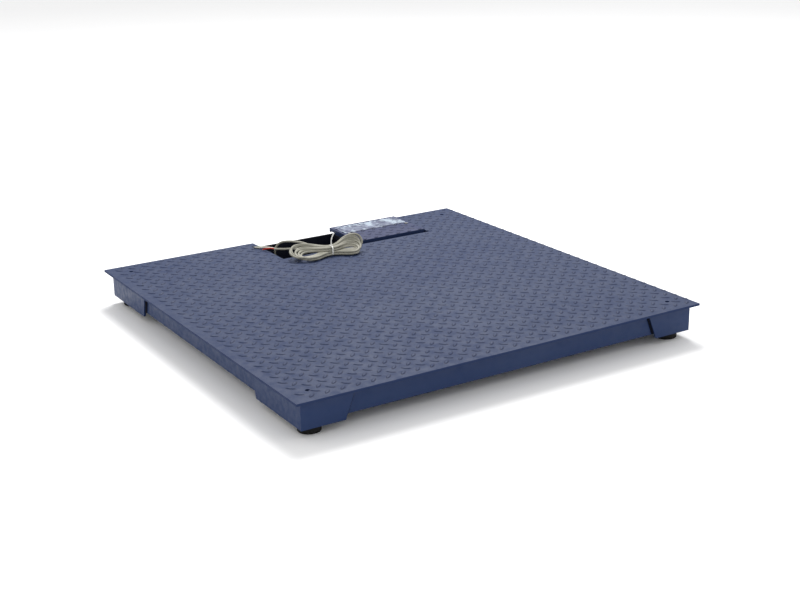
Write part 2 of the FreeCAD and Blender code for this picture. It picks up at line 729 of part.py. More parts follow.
def cell_cables():
    """A cable from each load cell, under the ribs and into its gland."""
    cables = []
    inside_box = JUNCTION_Y[0] + JUNCTION_WALL + 4
    gland_order = {"front_left": 1, "back_left": 0, "front_right": 2, "back_right": 3}
    for corner, (sx, sy) in CORNERS.items():
        x_cell = cell_x(sx)
        y_cell = cell_y(sy, CELL_LENGTH - CELL_FREE_END)
        x_gland = CELL_GLAND_X[gland_order[corner]]
        if sy < 0:
            lane = CABLE_LANES[1]
            line = sx * CABLE_LINE_X
            bends = [(x_cell, -330), (line, -285), (line, lane), (x_gland, lane)]
        else:
            lane = CABLE_LANES[0]
            bends = [(x_cell, lane), (x_gland, lane)]
        route = [(x_cell, y_cell)] + bends + [(x_gland, inside_box)]
        points = [(x, y, CELL_CABLE_Z) for x, y in route]
        cables.append(tube(f"cell cable {corner}", points, CELL_CABLE_RADIUS, CELL_CABLE_BEND))
    return group(cables)


def clip(x, y, along_x):
    """A block under a rib or beam, with a bore for a cable."""
    half = 6.0
    block = box(x - half, x + half, y - half, y + half, CELL_CABLE_Z - 5, RIB_BOTTOM)
    axis = (1, 0, 0) if along_x else (0, 1, 0)
    start = (x - half - 1, y, CELL_CABLE_Z) if along_x else (x, y - half - 1, CELL_CABLE_Z)
    return cut(block, [cylinder(CELL_CABLE_RADIUS + 0.05, 2 * half + 2, start, axis)])


def cable_clips():
    clips = []
    for side in (-1, 1):
        for row in RIB_ROWS[1:]:
            clips.append(clip(side * CABLE_LINE_X, row, False))
    for x in CELL_GLAND_X:
        clips.append(clip(x, BAY_FRONT - SHEET - TRIMMER_WIDTH / 2, False))
    return group(clips)


def cable_grommets():
    """Rubber rings in the walls that the cables go through."""
    rings = []
    bore = CELL_CABLE_RADIUS + 0.05
    for sx, sy in CORNERS.values():
        start = (cell_x(sx), sy * POCKET_Y, CELL_CABLE_Z)
        rings.append(ring(start, (0, sy, 0), 6.98, bore, CORNER_WALL))
    for x in CELL_GLAND_X:
        rings.append(ring((x, BAY_FRONT - SHEET, CELL_CABLE_Z), (0, 1, 0), 5.98, bore, SHEET))
    start = (LEFT_BRACKET_X, SIGNAL_GLAND_Y, SIGNAL_GLAND_Z)
    rings.append(ring(start, (1, 0, 0), 7.98, CABLE_RADIUS + 0.6, SHEET))
    return group(rings)


# ---- signal cable, wound in a hank on the deck ----


def hank_placement():
    rotation = FreeCAD.Rotation(vector(0, 0, 1), HANK_TURN)
    return FreeCAD.Placement(vector(HANK_CENTRE[0], HANK_CENTRE[1], DECK_TOP), rotation)


def cable_hank():
    """The outer shape of the wound and tied cable."""
    length, width = HANK_LENGTH / 2, HANK_WIDTH / 2
    hank = box(-length, length, -width, width, 0, HANK_HEIGHT)
    upright = [e for e in hank.Edges if abs(e.tangentAt(e.FirstParameter).z) > 0.9]
    hank = hank.makeFillet(HANK_CORNER, upright)
    hank.Placement = hank_placement()
    return hank


def cable_tie():
    """The strap around the hank's waist, with its head and the end that stands up."""
    half = HANK_WIDTH / 2
    x0, x1 = TIE_ALONG - TIE_WIDTH / 2, TIE_ALONG + TIE_WIDTH / 2
    outside = box(x0, x1, -half - TIE_THICKNESS, half + TIE_THICKNESS, 0, HANK_HEIGHT + TIE_THICKNESS)
    inside = box(x0 - 1, x1 + 1, -half, half, -1, HANK_HEIGHT)
    top = HANK_HEIGHT + TIE_THICKNESS
    head = box(x0 - 1, x1 + 1, 10, 16, top - TIE_THICKNESS, top + 4)
    tail = box(x0, x1, 12, 12 + TIE_THICKNESS, top, top + TIE_TAIL)
    tie = join([cut(outside, [inside]), head, tail])
    tie.Placement = hank_placement()
    return tie


def cable_cores():
    """The cable's cores, bare of their sheath, that fan out over the deck."""
    end = vector(*END_ROUTE[-1])
    along = (end - vector(*END_ROUTE[-2])).normalize()
    across = along.cross(vector(0, 0, 1)).normalize()
    up = across.cross(along)
    cores = []
    for number, ((right, high), *route) in enumerate(CORES, start=1):
        start = end + across * right + up * high
        straight = start + along * (2.5 * CORE_RADIUS)
        points = [tuple(start), tuple(straight), *route]
        cores.append(tube(f"core {number}", points, CORE_RADIUS))
    return group(cores)


def build():
    nodes = {
        "deck_plate": deck_plate(),
        "front_skirt": front_skirt(),
        "back_skirt": back_skirt(),
        "left_skirt": side_skirt(-1),
        "right_skirt": side_skirt(1),
        "cell_seals": cell_seals(),
        "cell_spacers": cell_spacers(),
        "cell_bolts": cell_bolts(),
        "cell_mount_plates": cell_mount_plates(),
        "foot_lock_nuts": foot_lock_nuts(),
        "bay_tray": bay_tray(),
        "bay_cover": bay_cover(),
        "cover_screws": cover_screws(),
        "cover_label": cover_label(),
        "junction_body": junction_body(),
        "junction_gasket": junction_gasket(),
        "junction_lid": junction_lid(),
        "junction_screws": junction_screws(),
        "circuit_board": circuit_board(),
        "terminal_blocks": terminal_blocks(),
        "trim_pots": trim_pots(),
        "cell_glands": cell_glands(),
        "signal_gland": signal_gland(),
        "cable_clips": cable_clips(),
        "cable_grommets": cable_grommets(),
        "signal_cable_lead": tube("signal_cable_lead", LEAD_ROUTE, CABLE_RADIUS),
        "signal_cable_end": tube("signal_cable_end", END_ROUTE, CABLE_RADIUS),
        "signal_cable_hank": cable_hank(),
        "cable_tie": cable_tie(),
        "cable_cores": cable_cores(),
        "cell_cables": cell_cables(),
        "bay_beams": bay_beams(),
        "deck_ribs": group([deck_rib(row) for row in RIB_ROWS]),
    }
    nodes.update(cover_brackets())
    for corner, (sx, sy) in CORNERS.items():
        x, y = sx * FOOT_POSITION, sy * FOOT_POSITION
        nodes[f"corner_box_{corner}"] = corner_box(sx, sy)
        nodes[f"load_cell_{corner}"] = load_cell(sx, sy)
        nodes[f"foot_stud_{corner}"] = foot_stud(x, y)
        nodes[f"foot_collar_{corner}"] = foot_collar(x, y)
        nodes[f"foot_cup_{corner}"] = foot_cup(x, y)
        nodes[f"foot_pad_{corner}"] = foot_pad(x, y)
    return nodes


os.makedirs("parts", exist_ok=True)
for node, shape in build().items():
    shape.exportStep(f"parts/{node}.step")
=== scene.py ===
"""The looks of a square floor scale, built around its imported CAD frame. Metres, +Z up."""

import bmesh
import bpy
import json
import math
import random
from mathutils import Matrix, Vector, noise


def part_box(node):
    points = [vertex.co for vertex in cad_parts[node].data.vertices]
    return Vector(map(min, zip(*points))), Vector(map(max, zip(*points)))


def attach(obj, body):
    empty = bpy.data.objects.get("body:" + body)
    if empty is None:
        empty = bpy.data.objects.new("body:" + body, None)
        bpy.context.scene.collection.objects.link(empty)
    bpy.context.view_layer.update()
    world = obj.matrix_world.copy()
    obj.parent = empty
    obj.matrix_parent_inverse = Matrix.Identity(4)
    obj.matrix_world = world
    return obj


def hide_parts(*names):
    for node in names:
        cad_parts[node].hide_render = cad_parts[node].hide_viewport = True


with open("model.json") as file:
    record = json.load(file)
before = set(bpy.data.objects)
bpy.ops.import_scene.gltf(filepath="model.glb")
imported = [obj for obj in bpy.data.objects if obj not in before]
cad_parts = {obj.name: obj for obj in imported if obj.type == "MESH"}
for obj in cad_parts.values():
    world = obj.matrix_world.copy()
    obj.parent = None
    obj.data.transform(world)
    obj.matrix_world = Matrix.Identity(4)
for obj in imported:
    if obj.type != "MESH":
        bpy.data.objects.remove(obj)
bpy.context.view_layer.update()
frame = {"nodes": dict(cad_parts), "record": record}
nodes = frame["nodes"]
MM = 0.001

DECK_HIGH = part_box("deck_plate")[1]
DECK_TOP, DECK_HALF = DECK_HIGH.z, DECK_HIGH.x
COVER_LOW, COVER_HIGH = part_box("bay_cover")
COVER_TOP = COVER_HIGH.z
LABEL_LOW, LABEL_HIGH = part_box("cover_label")
CORNERS = {"front_left": (-1, -1), "front_right": (1, -1), "back_left": (-1, 1), "back_right": (1, 1)}

# ---- camera ----

CAMERA_AZIMUTH = math.radians(-31.558)
CAMERA_ELEVATION = math.radians(18.777)
CAMERA_ROLL = math.radians(-1.062)
CAMERA_DISTANCE = 3.6378
CAMERA_TARGET = Vector((-0.0354, -0.1238, DECK_TOP))
CAMERA_LENS, SENSOR_WIDTH = 60.89, 36.0


def make_camera():
    data = bpy.data.cameras.new("camera")
    data.lens = CAMERA_LENS
    data.sensor_width = SENSOR_WIDTH
    data.clip_start, data.clip_end = 0.05, 100.0
    camera = bpy.data.objects.new("camera", data)
    bpy.context.scene.collection.objects.link(camera)
    flat = math.cos(CAMERA_ELEVATION)
    back = Vector((math.sin(CAMERA_AZIMUTH) * flat, -math.cos(CAMERA_AZIMUTH) * flat, 0.0))
    back.z = math.sin(CAMERA_ELEVATION)
    right = (-back).cross(Vector((0, 0, 1))).normalized()
    up = right.cross(-back)
    rolled_right = right * math.cos(CAMERA_ROLL) + up * math.sin(CAMERA_ROLL)
    rolled_up = up * math.cos(CAMERA_ROLL) - right * math.sin(CAMERA_ROLL)
    turn = Matrix((rolled_right, rolled_up, back)).transposed()
    place = CAMERA_TARGET + back * CAMERA_DISTANCE
    camera.matrix_world = Matrix.LocRotScale(place, turn.to_quaternion(), None)
    bpy.context.scene.camera = camera


make_camera()

# ---- materials ----


class Shader:
    """A material's node tree, with short names for the nodes that this script uses."""

    def __init__(self, name, roughness=0.5, metallic=0.0):
        self.material = bpy.data.materials.new(name)
        self.material.use_nodes = True
        self.tree = self.material.node_tree
        self.surface = self.tree.nodes["Principled BSDF"]
        self.surface.inputs["Metallic"].default_value = metallic
        self.surface.inputs["Roughness"].default_value = roughness
        self.surface.inputs["Specular IOR Level"].default_value = 0.2
        self.place = self.tree.nodes.new("ShaderNodeTexCoord").outputs["Object"]

    def link(self, source, target):
        self.tree.links.new(source, target)

    def set(self, name, value):
        self.surface.inputs[name].default_value = value

    def mapped(self, scale):
        """Object coordinates in metres, stretched by a scale for each axis."""
        node = self.tree.nodes.new("ShaderNodeMapping")
        node.inputs["Scale"].default_value = scale
        self.link(self.place, node.inputs["Vector"])
        return node.outputs["Vector"]

    def noise(self, scale, detail=4.0, roughness=0.55, stretch=None, distortion=0.0):
        node = self.tree.nodes.new("ShaderNodeTexNoise")
        node.inputs["Scale"].default_value = scale
        node.inputs["Detail"].default_value = detail
        node.inputs["Roughness"].default_value = roughness
        node.inputs["Distortion"].default_value = distortion
        self.link(self.mapped(stretch) if stretch else self.place, node.inputs["Vector"])
        return node.outputs["Fac"]

    def ramp(self, source, low, high, value_low=0.0, value_high=1.0):
        """The source's values from low to high, spread from value_low to value_high."""
        node = self.tree.nodes.new("ShaderNodeMapRange")
        node.interpolation_type = "SMOOTHSTEP"
        node.inputs["From Min"].default_value = low
        node.inputs["From Max"].default_value = high
        node.inputs["To Min"].default_value = value_low
        node.inputs["To Max"].default_value = value_high
        self.link(source, node.inputs["Value"])
        return node.outputs["Result"]

    def math(self, operation, a, b):
        node = self.tree.nodes.new("ShaderNodeMath")
        node.operation = operation
        for socket, value in zip(node.inputs, (a, b)):
            if isinstance(value, (int, float)):
                socket.default_value = value
            else:
                self.link(value, socket)
        return node.outputs["Value"]

    def mix(self, factor, a, b):
        """A colour between a and b. Each is a colour or a socket."""
        node = self.tree.nodes.new("ShaderNodeMix")
        node.data_type = "RGBA"
        ins = {s.identifier: s for s in node.inputs}
        for name, value in (("Factor_Float", factor), ("A_Color", a), ("B_Color", b)):
            if isinstance(value, (int, float)):
                ins[name].default_value = value
            elif isinstance(value, tuple):
                ins[name].default_value = (*value, 1.0)
            else:
                self.link(value, ins[name])
        return next(s for s in node.outputs if s.identifier == "Result_Color")

    def axis(self, name):
        """The object's own X, Y or Z, in metres."""
        node = self.tree.nodes.new("ShaderNodeSeparateXYZ")
        self.link(self.place, node.inputs["Vector"])
        return node.outputs[name]

    def flatness(self, low, high):
        """From 0 on upright faces to 1 on level ones that face up."""
        geometry = self.tree.nodes.new("ShaderNodeNewGeometry")
        split = self.tree.nodes.new("ShaderNodeSeparateXYZ")
        self.link(geometry.outputs["Normal"], split.inputs["Vector"])
        return self.ramp(split.outputs["Z"], low, high)

    def bump(self, height, strength, distance):
        node = self.tree.nodes.new("ShaderNodeBump")
        node.inputs["Strength"].default_value = strength
        node.inputs["Distance"].default_value = distance
        self.link(height, node.inputs["Height"])
        self.link(node.outputs["Normal"], self.surface.inputs["Normal"])

    def colour(self, source):
        self.link(source, self.surface.inputs["Base Color"])

    def roughness(self, source):
        self.link(source, self.surface.inputs["Roughness"])


def painted(name, base, dusty, worn, gloss=0.42, painted_shade_below_y=None):
    """Sprayed paint: slow colour drift, fine orange peel, dust and small chips. Below a given Y it may
    turn near-black, as painted shade.
    """
    s = Shader(name)
    drift = s.ramp(s.noise(3.5, 5.0), 0.35, 0.7)
    colour = s.mix(drift, base, dusty)
    specks = s.ramp(s.noise(420.0, 3.0), 0.66, 0.74)
    blotches = s.ramp(s.noise(26.0, 6.0, 0.7), 0.52, 0.72)
    colour = s.mix(s.math("MULTIPLY", specks, s.math("MULTIPLY", blotches, 0.55)), colour, worn)
    # Below the Y the colour is near-black: painted shade.
    if painted_shade_below_y is not None:
        colour = s.mix(s.math("LESS_THAN", s.axis("Y"), painted_shade_below_y), colour, BAY_SIDE_PAINTED_SHADE)
    s.colour(colour)
    s.roughness(s.ramp(s.noise(60.0, 5.0), 0.3, 0.75, gloss - 0.08, gloss + 0.16))
    s.bump(s.noise(900.0, 3.0), 0.16, 0.0004)
    return s.material


def deck_paint(name, top, dusty, level):
    """Paint on treadplate: level faces greyer, partly dust and partly painted sheen; darker round the
    lugs' feet and on their sides, partly dirt and partly painted shade.
    """
    s = Shader(name)
    drift = s.ramp(s.noise(2.2, 6.0, 0.6), 0.35, 0.68)
    colour = s.mix(drift, top, dusty)
    patches = s.ramp(s.noise(9.0, 7.0, 0.72, distortion=0.4), 0.5, 0.78)
    colour = s.mix(s.math("MULTIPLY", patches, 0.3), colour, tuple(1.35 * c for c in dusty))
    dirt = s.ramp(s.noise(55.0, 6.0, 0.75), 0.5, 0.75)
    colour = s.mix(s.math("MULTIPLY", dirt, 0.35), colour, tuple(0.55 * c for c in top))
    crown = s.ramp(s.axis("Z"), level + 0.0011, level + 0.0017)
    rub = s.ramp(s.noise(14.0, 5.0, 0.7), 0.38, 0.66)
    colour = s.mix(s.math("MULTIPLY", s.math("MULTIPLY", crown, rub), 0.12), colour, (0.10, 0.105, 0.13))
    # Darker on the lugs' lower sides and round their feet: painted shade, with some dirt in the fillets.
    foot = s.ramp(s.axis("Z"), level + 0.000004, level + 0.00001)
    foot = s.math("MULTIPLY", foot, s.ramp(s.axis("Z"), level + 0.0017, level + 0.0007))
    colour = s.mix(s.math("MULTIPLY", foot, 0.62), colour, (0.008, 0.012, 0.034))
    # Upright faces keep the navy paint; the greyer tone of level faces is partly dust and partly painted
    # sheen.
    colour = s.mix(s.flatness(0.45, 0.95), (0.014, 0.027, 0.080), colour)
    s.set("Specular IOR Level", 0.13)
    s.colour(colour)
    s.roughness(s.ramp(s.noise(38.0, 6.0, 0.7), 0.3, 0.75, 0.5, 0.72))
    s.bump(s.noise(700.0, 4.0), 0.2, 0.0004)
    return s.material


def steel(name, base, rough, grain):
    """Bare or plated steel: brushed grain and faint staining."""
    s = Shader(name, metallic=1.0)
    streak = s.noise(90.0, 4.0, 0.6, stretch=grain)
    stain = s.ramp(s.noise(35.0, 5.0, 0.65), 0.45, 0.75)
    colour = s.mix(s.ramp(streak, 0.3, 0.7), base, tuple(0.8 * c for c in base))
    s.colour(s.mix(s.math("MULTIPLY", stain, 0.3), colour, (0.33, 0.30, 0.25)))
    s.roughness(s.ramp(streak, 0.25, 0.75, rough, rough + 0.2))
    s.bump(streak, 0.08, 0.0002)
    return s.material


def plastic(name, base, rough, grain=900.0, depth=0.0003, dirt=0.3, coat=0.0):
    """Moulded plastic or rubber: fine grain and some dirt."""
    s = Shader(name)
    stain = s.ramp(s.noise(45.0, 5.0, 0.65), 0.45, 0.78)
    dark = tuple(0.55 * c for c in base)
    s.colour(s.mix(s.math("MULTIPLY", stain, dirt), base, dark))
    s.roughness(s.ramp(s.noise(120.0, 4.0), 0.3, 0.7, rough - 0.07, rough + 0.1))
    s.bump(s.noise(grain, 3.0), 0.25, depth)
    if coat:
        s.set("Coat Weight", coat)
        s.set("Coat Roughness", 0.25)
    return s.material


def rubber(name):
    """Black moulded rubber with grey dust."""
    s = Shader(name)
    dust = s.ramp(s.noise(60.0, 7.0, 0.75), 0.45, 0.8)
    s.colour(s.mix(s.math("MULTIPLY", dust, 0.5), (0.004, 0.004, 0.004), (0.022, 0.021, 0.020)))
    s.roughness(s.ramp(s.noise(200.0, 4.0), 0.3, 0.7, 0.55, 0.78))
    s.bump(s.noise(650.0, 4.0), 0.35, 0.0004)
    return s.material


def sheath():
    """The signal cable's soft PVC: grey-beige, a little grubby, with the lay of its cores."""
    s = Shader("signal_cable_sheath")
    drift = s.ramp(s.noise(14.0, 4.0), 0.35, 0.7)
    colour = s.mix(drift, (0.33, 0.32, 0.27), (0.22, 0.215, 0.175))
    grime = s.ramp(s.noise(90.0, 6.0, 0.75), 0.5, 0.78)
    s.colour(s.mix(s.math("MULTIPLY", grime, 0.45), colour, (0.20, 0.19, 0.15)))
    s.roughness(s.ramp(s.noise(150.0, 4.0), 0.3, 0.7, 0.42, 0.6))
    s.bump(s.noise(500.0, 3.0), 0.15, 0.0003)
    return s.material


def label_film():
    """A weathered blank film: grey-blue, with pale flecks that are painted glints, and lighter where the
    lugs push it up, partly wear and partly painted highlight.
    """
    s = Shader("label_film")
    drift = s.ramp(s.noise(30.0, 6.0, 0.7, distortion=0.8), 0.4, 0.64)
    colour = s.mix(drift, (0.035, 0.045, 0.10), (0.15, 0.17, 0.24))
    # Lighter where the film stands up over the lugs: partly wear, partly painted highlight.
    raised_highlight = s.ramp(s.axis("Z"), COVER_TOP + 0.0008, COVER_TOP + 0.0018)
    worn = s.ramp(s.noise(24.0, 6.0, 0.7), 0.44, 0.62)
    colour = s.mix(s.math("MULTIPLY", s.math("MULTIPLY", raised_highlight, worn), 0.7), colour, (0.26, 0.29, 0.37))
    # Pale flecks: painted glints on the crinkled film.
    glint_flecks = s.ramp(s.noise(27.0, 5.0, 0.72, stretch=(1.0, 0.6, 1.0)), 0.50, 0.58)
    s.colour(s.mix(s.math("MULTIPLY", glint_flecks, 0.75), colour, (0.36, 0.43, 0.50)))
    s.roughness(s.ramp(drift, 0.0, 1.0, 0.3, 0.5))
    s.bump(s.noise(160.0, 5.0), 0.3, 0.0004)
    return s.material


# Level-face tones of the deck and cover, greyer than the navy: partly dust, partly painted sheen.
DECK_BLUE_AND_SHEEN, DECK_DUST_AND_SHEEN = (0.020, 0.033, 0.084), (0.030, 0.043, 0.092)
COVER_BLUE_AND_SHEEN, COVER_DUST_AND_SHEEN = (0.026, 0.036, 0.090), (0.038, 0.045, 0.098)
NAVY, NAVY_DUST, NAVY_WORN = (0.012, 0.029, 0.092), (0.018, 0.036, 0.100), (0.06, 0.075, 0.12)
# Near-black colours for the cable bay's inside and the corner boxes' gaps: painted shade.
BAY_SIDE_PAINTED_SHADE = (0.005, 0.006, 0.013)
PRIMER_PAINTED_SHADE, PRIMER_PAINTED_SHADE_DUST, PRIMER_PAINTED_SHADE_WORN = (0.004, 0.005, 0.012), (0.008, 0.009, 0.018), (0.03, 0.03, 0.035)
# The back channel's side that faces the cable bay is near-black: painted shade in the bay.
BAY_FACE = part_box("back_skirt")[1].y - 1.5 * MM
MATERIALS = {
    "deck_paint": deck_paint("deck_paint", DECK_BLUE_AND_SHEEN, DECK_DUST_AND_SHEEN, DECK_TOP),
    "cover_paint": deck_paint("cover_paint", COVER_BLUE_AND_SHEEN, COVER_DUST_AND_SHEEN, COVER_TOP),
    "frame_paint": painted("frame_paint", NAVY, NAVY_DUST, NAVY_WORN),
    "half_painted_shade": painted("half_painted_shade", NAVY, NAVY_DUST, NAVY_WORN, painted_shade_below_y=BAY_FACE),
    "primer_as_painted_shade": painted("primer_as_painted_shade", PRIMER_PAINTED_SHADE, PRIMER_PAINTED_SHADE_DUST, PRIMER_PAINTED_SHADE_WORN, 0.6),
    "foot_rubber": rubber("foot_rubber"),
    "seal_rubber": rubber("seal_rubber"),
    "zinc_plated_steel": steel("zinc_plated_steel", (0.66, 0.66, 0.64), 0.25, (1.0, 1.0, 8.0)),
    "dull_zinc": steel("dull_zinc", (0.22, 0.22, 0.23), 0.5, (1.0, 1.0, 1.0)),
    "cell_nickel": steel("cell_nickel", (0.58, 0.57, 0.55), 0.3, (1.0, 0.15, 1.0)),
    "box_aluminium": steel("box_aluminium", (0.60, 0.61, 0.62), 0.42, (1.0, 1.0, 1.0)),
    "board_green": plastic("board_green", (0.012, 0.16, 0.06), 0.35, 300.0, 0.0002),
    "terminal_plastic": plastic("terminal_plastic", (0.04, 0.26, 0.13), 0.4),
    "trimmer_blue": plastic("trimmer_blue", (0.02, 0.10, 0.42), 0.4),
    "gland_nylon": plastic("gland_nylon", (0.025, 0.025, 0.028), 0.5),
    "collar_nylon": plastic("collar_nylon", (0.62, 0.61, 0.56), 0.45),
    "cell_cable_sheath": plastic("cell_cable_sheath", (0.09, 0.09, 0.09), 0.5),
    "signal_cable_sheath": sheath(),
    "tie_nylon": plastic("tie_nylon", (0.80, 0.80, 0.76), 0.35, dirt=0.15),
    "label_plastic": label_film(),
}
CORE_COLOURS = {
    "core_red": (0.36, 0.022, 0.010),
    "core_black": (0.012, 0.012, 0.012),
    "core_white": (0.72, 0.70, 0.62),
    "core_green": (0.03, 0.12, 0.06),
}
for core_name, core_colour in CORE_COLOURS.items():
    MATERIALS[core_name] = plastic(core_name, core_colour, 0.4, dirt=0.2)

RECORD = frame["record"]
NODE_SLOTS = {part["node"]: part["material_slot"] for part in RECORD["subparts"]}
NODE_BODIES = {
    node: body for body, members in RECORD["behaviour"]["bodies"].items() for node in members
}


def paint_nodes():
    """Gives every carried-over node its slot's material."""
    for name, obj in nodes.items():
        slot = NODE_SLOTS[name]
        material = MATERIALS["core_red" if slot == "core_insulation" else slot]
        for index in range(max(1, len(obj.material_slots))):
            if index < len(obj.material_slots):
                obj.material_slots[index].material = material
            else:
                obj.data.materials.append(material)


paint_nodes()


def new_piece(name, mesh, material, body):
    """A mesh as a piece that rides on a body."""
    obj = bpy.data.objects.new(name, mesh)
    bpy.context.scene.collection.objects.link(obj)
    obj.data.materials.append(MATERIALS[material])
    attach(obj, body)
    return obj


# ---- signal cable ----

CABLE_DIAMETER = 6.5 * MM
LUG_HEIGHT = 1.7 * MM
HANK_CENTRE = Vector((0.0, 0.343, DECK_TOP))
HANK_TURN = math.radians(-10.0)
HANK_ALONG = Vector((math.cos(HANK_TURN), math.sin(HANK_TURN), 0))
HANK_ACROSS = Vector((-math.sin(HANK_TURN), math.cos(HANK_TURN), 0))
TIE_ALONG = 0.016
TIE_WIDTH, TIE_THICKNESS = 3.6 * MM, 1.2 * MM
TIE_MIDDLE = 7 * MM
STRAND_REST = LUG_HEIGHT + CABLE_DIAMETER / 2 + 1.2 * MM
FIRST_STRAND, LAST_STRAND = -2 * MM, -4 * MM
# The turns in winding order, each by its rank from the nearest and lowest to the furthest and highest.
TURN_ORDER = (5, 3, 1, 0, 2, 4, 7, 6)
# Each turn's column and row where the hank is tied, for its lower and its upper strand.
TIED_LOW = ((0, 0), (0, 1), (1, 0), (1, 1), (2, 0), (2, 1), (3, 0), (3, 1))
TIED_HIGH = ((0, 2), (1, 2), (0, 3), (1, 3), (2, 2), (3, 2), (2, 3), (3, 3))

# The route's stretches, as in the CAD: from the gland over the bay, and from the hank to the cores.
LEAD_ROUTE = (
    (0.190, 0.480, 0.050),
    (0.138, 0.480, 0.050),
    (0.094, 0.481, 0.0435),
    (0.046, 0.486, 0.043),
    (-0.004, 0.494, 0.043),
    (-0.046, 0.503, 0.043),
    (-0.084, 0.509, 0.047),
    (-0.094, 0.508, 0.081),
    (-0.090, 0.500, 0.108),
    (-0.084, 0.480, 0.124),
    (-0.070, 0.452, 0.1315),
    (-0.050, 0.424, 0.132),
    (-0.033, 0.399, 0.127),
    (-0.017, 0.375, 0.120),
)
END_ROUTE = (
    (-0.050, 0.380, 0.119),
    (-0.064, 0.408, 0.117),
    (-0.077, 0.436, 0.112),
    (-0.089, 0.462, 0.1065),
    (-0.103, 0.487, 0.1038),
)


def smooth(x):
    x = min(1.0, max(0.0, x))
    return x * x * (3 - 2 * x)


def hank_place(along, across, high):
    """A point given along and across the hank, and above the deck."""
    return HANK_CENTRE + HANK_ALONG * along + HANK_ACROSS * across + Vector((0, 0, high))


def tied_place(column, row):
    """The centre of one strand where the hank is tied, across the hank and above the deck."""
    across = TIE_MIDDLE + (column - 1.5) * CABLE_DIAMETER + (row % 2) * 1.5 * MM
    return across, STRAND_REST + row * 0.95 * CABLE_DIAMETER


def hank_loops():
    """Eight turns. The near ones lie low, and the far ones stand up higher and reach further out."""
    rng = random.Random(11)
    loops = []
    for rank in TURN_ORDER:
        column, layer = rank // 2, rank % 2
        low = (-26 + 10.5 * column + rng.uniform(-1, 1), 6.6 * layer + rng.uniform(0, 1.0))
        near = -34 + 4.0 * column - 3.0 * layer + rng.uniform(-1, 1)
        back = 15 + 5.0 * column + 3.0 * layer + rng.uniform(-1, 1)
        rise = 9.0 * column + 4.4 * layer + rng.uniform(-0.8, 0.8)
        loops.append(
            {
                "low_left": (near * MM, STRAND_REST + low[1] * MM),
                "low_right": (low[0] * MM, STRAND_REST + low[1] * MM),
                "high_left": (back * MM, STRAND_REST + (11 + 0.62 * rise) * MM),
                "high_right": (back * MM, STRAND_REST + (14 + 0.95 * rise) * MM),
                "tied_low": tied_place(*TIED_LOW[rank]),
                "tied_high": tied_place(*TIED_HIGH[rank]),
                "left": (84 + 4.4 * rank + rng.uniform(-2.5, 2.5)) * MM,
                "right": (98 + 2.4 * rank + rng.uniform(-3.0, 3.0)) * MM,
            }
        )
    return loops


def strand_place(loop, along, share):
    """A point of a turn: share is 0 on its lower strand, 1 on its upper one, and between at its ends."""
    span = (loop["right"] - TIE_ALONG) if along > TIE_ALONG else (loop["left"] + TIE_ALONG)
    spread = smooth((abs(along - TIE_ALONG) - 7 * MM) / (0.56 * span))
    side = "right" if along > TIE_ALONG else "left"
    low, high = loop[f"low_{side}"], loop[f"high_{side}"]
    pair = []
    for axis in (0, 1):
        tied = loop["tied_low"][axis] + (loop["tied_high"][axis] - loop["tied_low"][axis]) * share
        loose = low[axis] + (high[axis] - low[axis]) * share
        pair.append(tied + (loose - tied) * spread)
    return hank_place(along, *pair)


def end_place(loop, side, angle):
    """A point on the round end of a turn, at an angle from the middle of that end."""
    radius = math.dist(loop[f"high_{side}"], loop[f"low_{side}"]) / 2
    middle = loop["right"] - radius if side == "right" else radius - loop["left"]
    return strand_place(loop, middle + radius * math.cos(angle), (math.sin(angle) + 1) / 2)


def straight_ends(loop):
    """Where a turn's strands pass into its left and right ends."""
    left_radius = math.dist(loop["high_left"], loop["low_left"]) / 2
    right_radius = math.dist(loop["high_right"], loop["low_right"]) / 2
    return left_radius - loop["left"], loop["right"] - right_radius


def hank_points():
    """The hank's turns, one after the other."""
    loops = hank_loops()
    points = []
    steps, cap_steps = 6, 6
    for index, loop in enumerate(loops):
        last = index == len(loops) - 1
        after = loops[min(index + 1, len(loops) - 1)]
        left, right = straight_ends(loop)
        start = left if index else FIRST_STRAND
        for step in range(steps):
            points.append(strand_place(loop, start + (right - start) * step / steps, 1))
        for step in range(cap_steps):
            points.append(end_place(loop, "right", math.pi * (0.5 - step / cap_steps)))
        end = LAST_STRAND if last else left
        for step in range(steps + last):
            points.append(strand_place(loop, right + (end - right) * step / steps, 0))
        if last:
            break
        for step in range(cap_steps):
            angle = math.pi * (1.5 - step / cap_steps)
            here, there = end_place(loop, "left", angle), end_place(after, "left", angle)
            points.append(here.lerp(there, smooth(step / cap_steps)))
    return points


def smooth_curve(name, points, resolution):
    """A curve's data: one NURBS spline that a list of points guides."""
    data = bpy.data.curves.new(name, "CURVE")
    data.dimensions = "3D"
    data.resolution_u = resolution
    spline = data.splines.new("NURBS")
    spline.points.add(len(points) - 1)
    for target, point in zip(spline.points, points):
        target.co = (*point, 1.0)
    spline.order_u = 3
    spline.use_endpoint_u = True
    return data


def line_places(data):
    """The places along a bare curve's own line. The curve's data is used up."""
    guide = bpy.data.objects.new("guide", data)
    line = bpy.data.meshes.new_from_object(guide)
    places = [v.co.copy() for v in line.vertices]
    bpy.data.objects.remove(guide)
    bpy.data.curves.remove(data)
    bpy.data.meshes.remove(line)
    return places


def cable_curve(name, points, diameter, material):
    """One smooth round cable along a route."""
    data = smooth_curve(name, points, 6)
    data.bevel_depth = diameter / 2
    data.bevel_resolution = 5
    data.use_fill_caps = True
    obj = bpy.data.objects.new(name, data)
    bpy.context.scene.collection.objects.link(obj)
    data.materials.append(MATERIALS[material])
    return obj


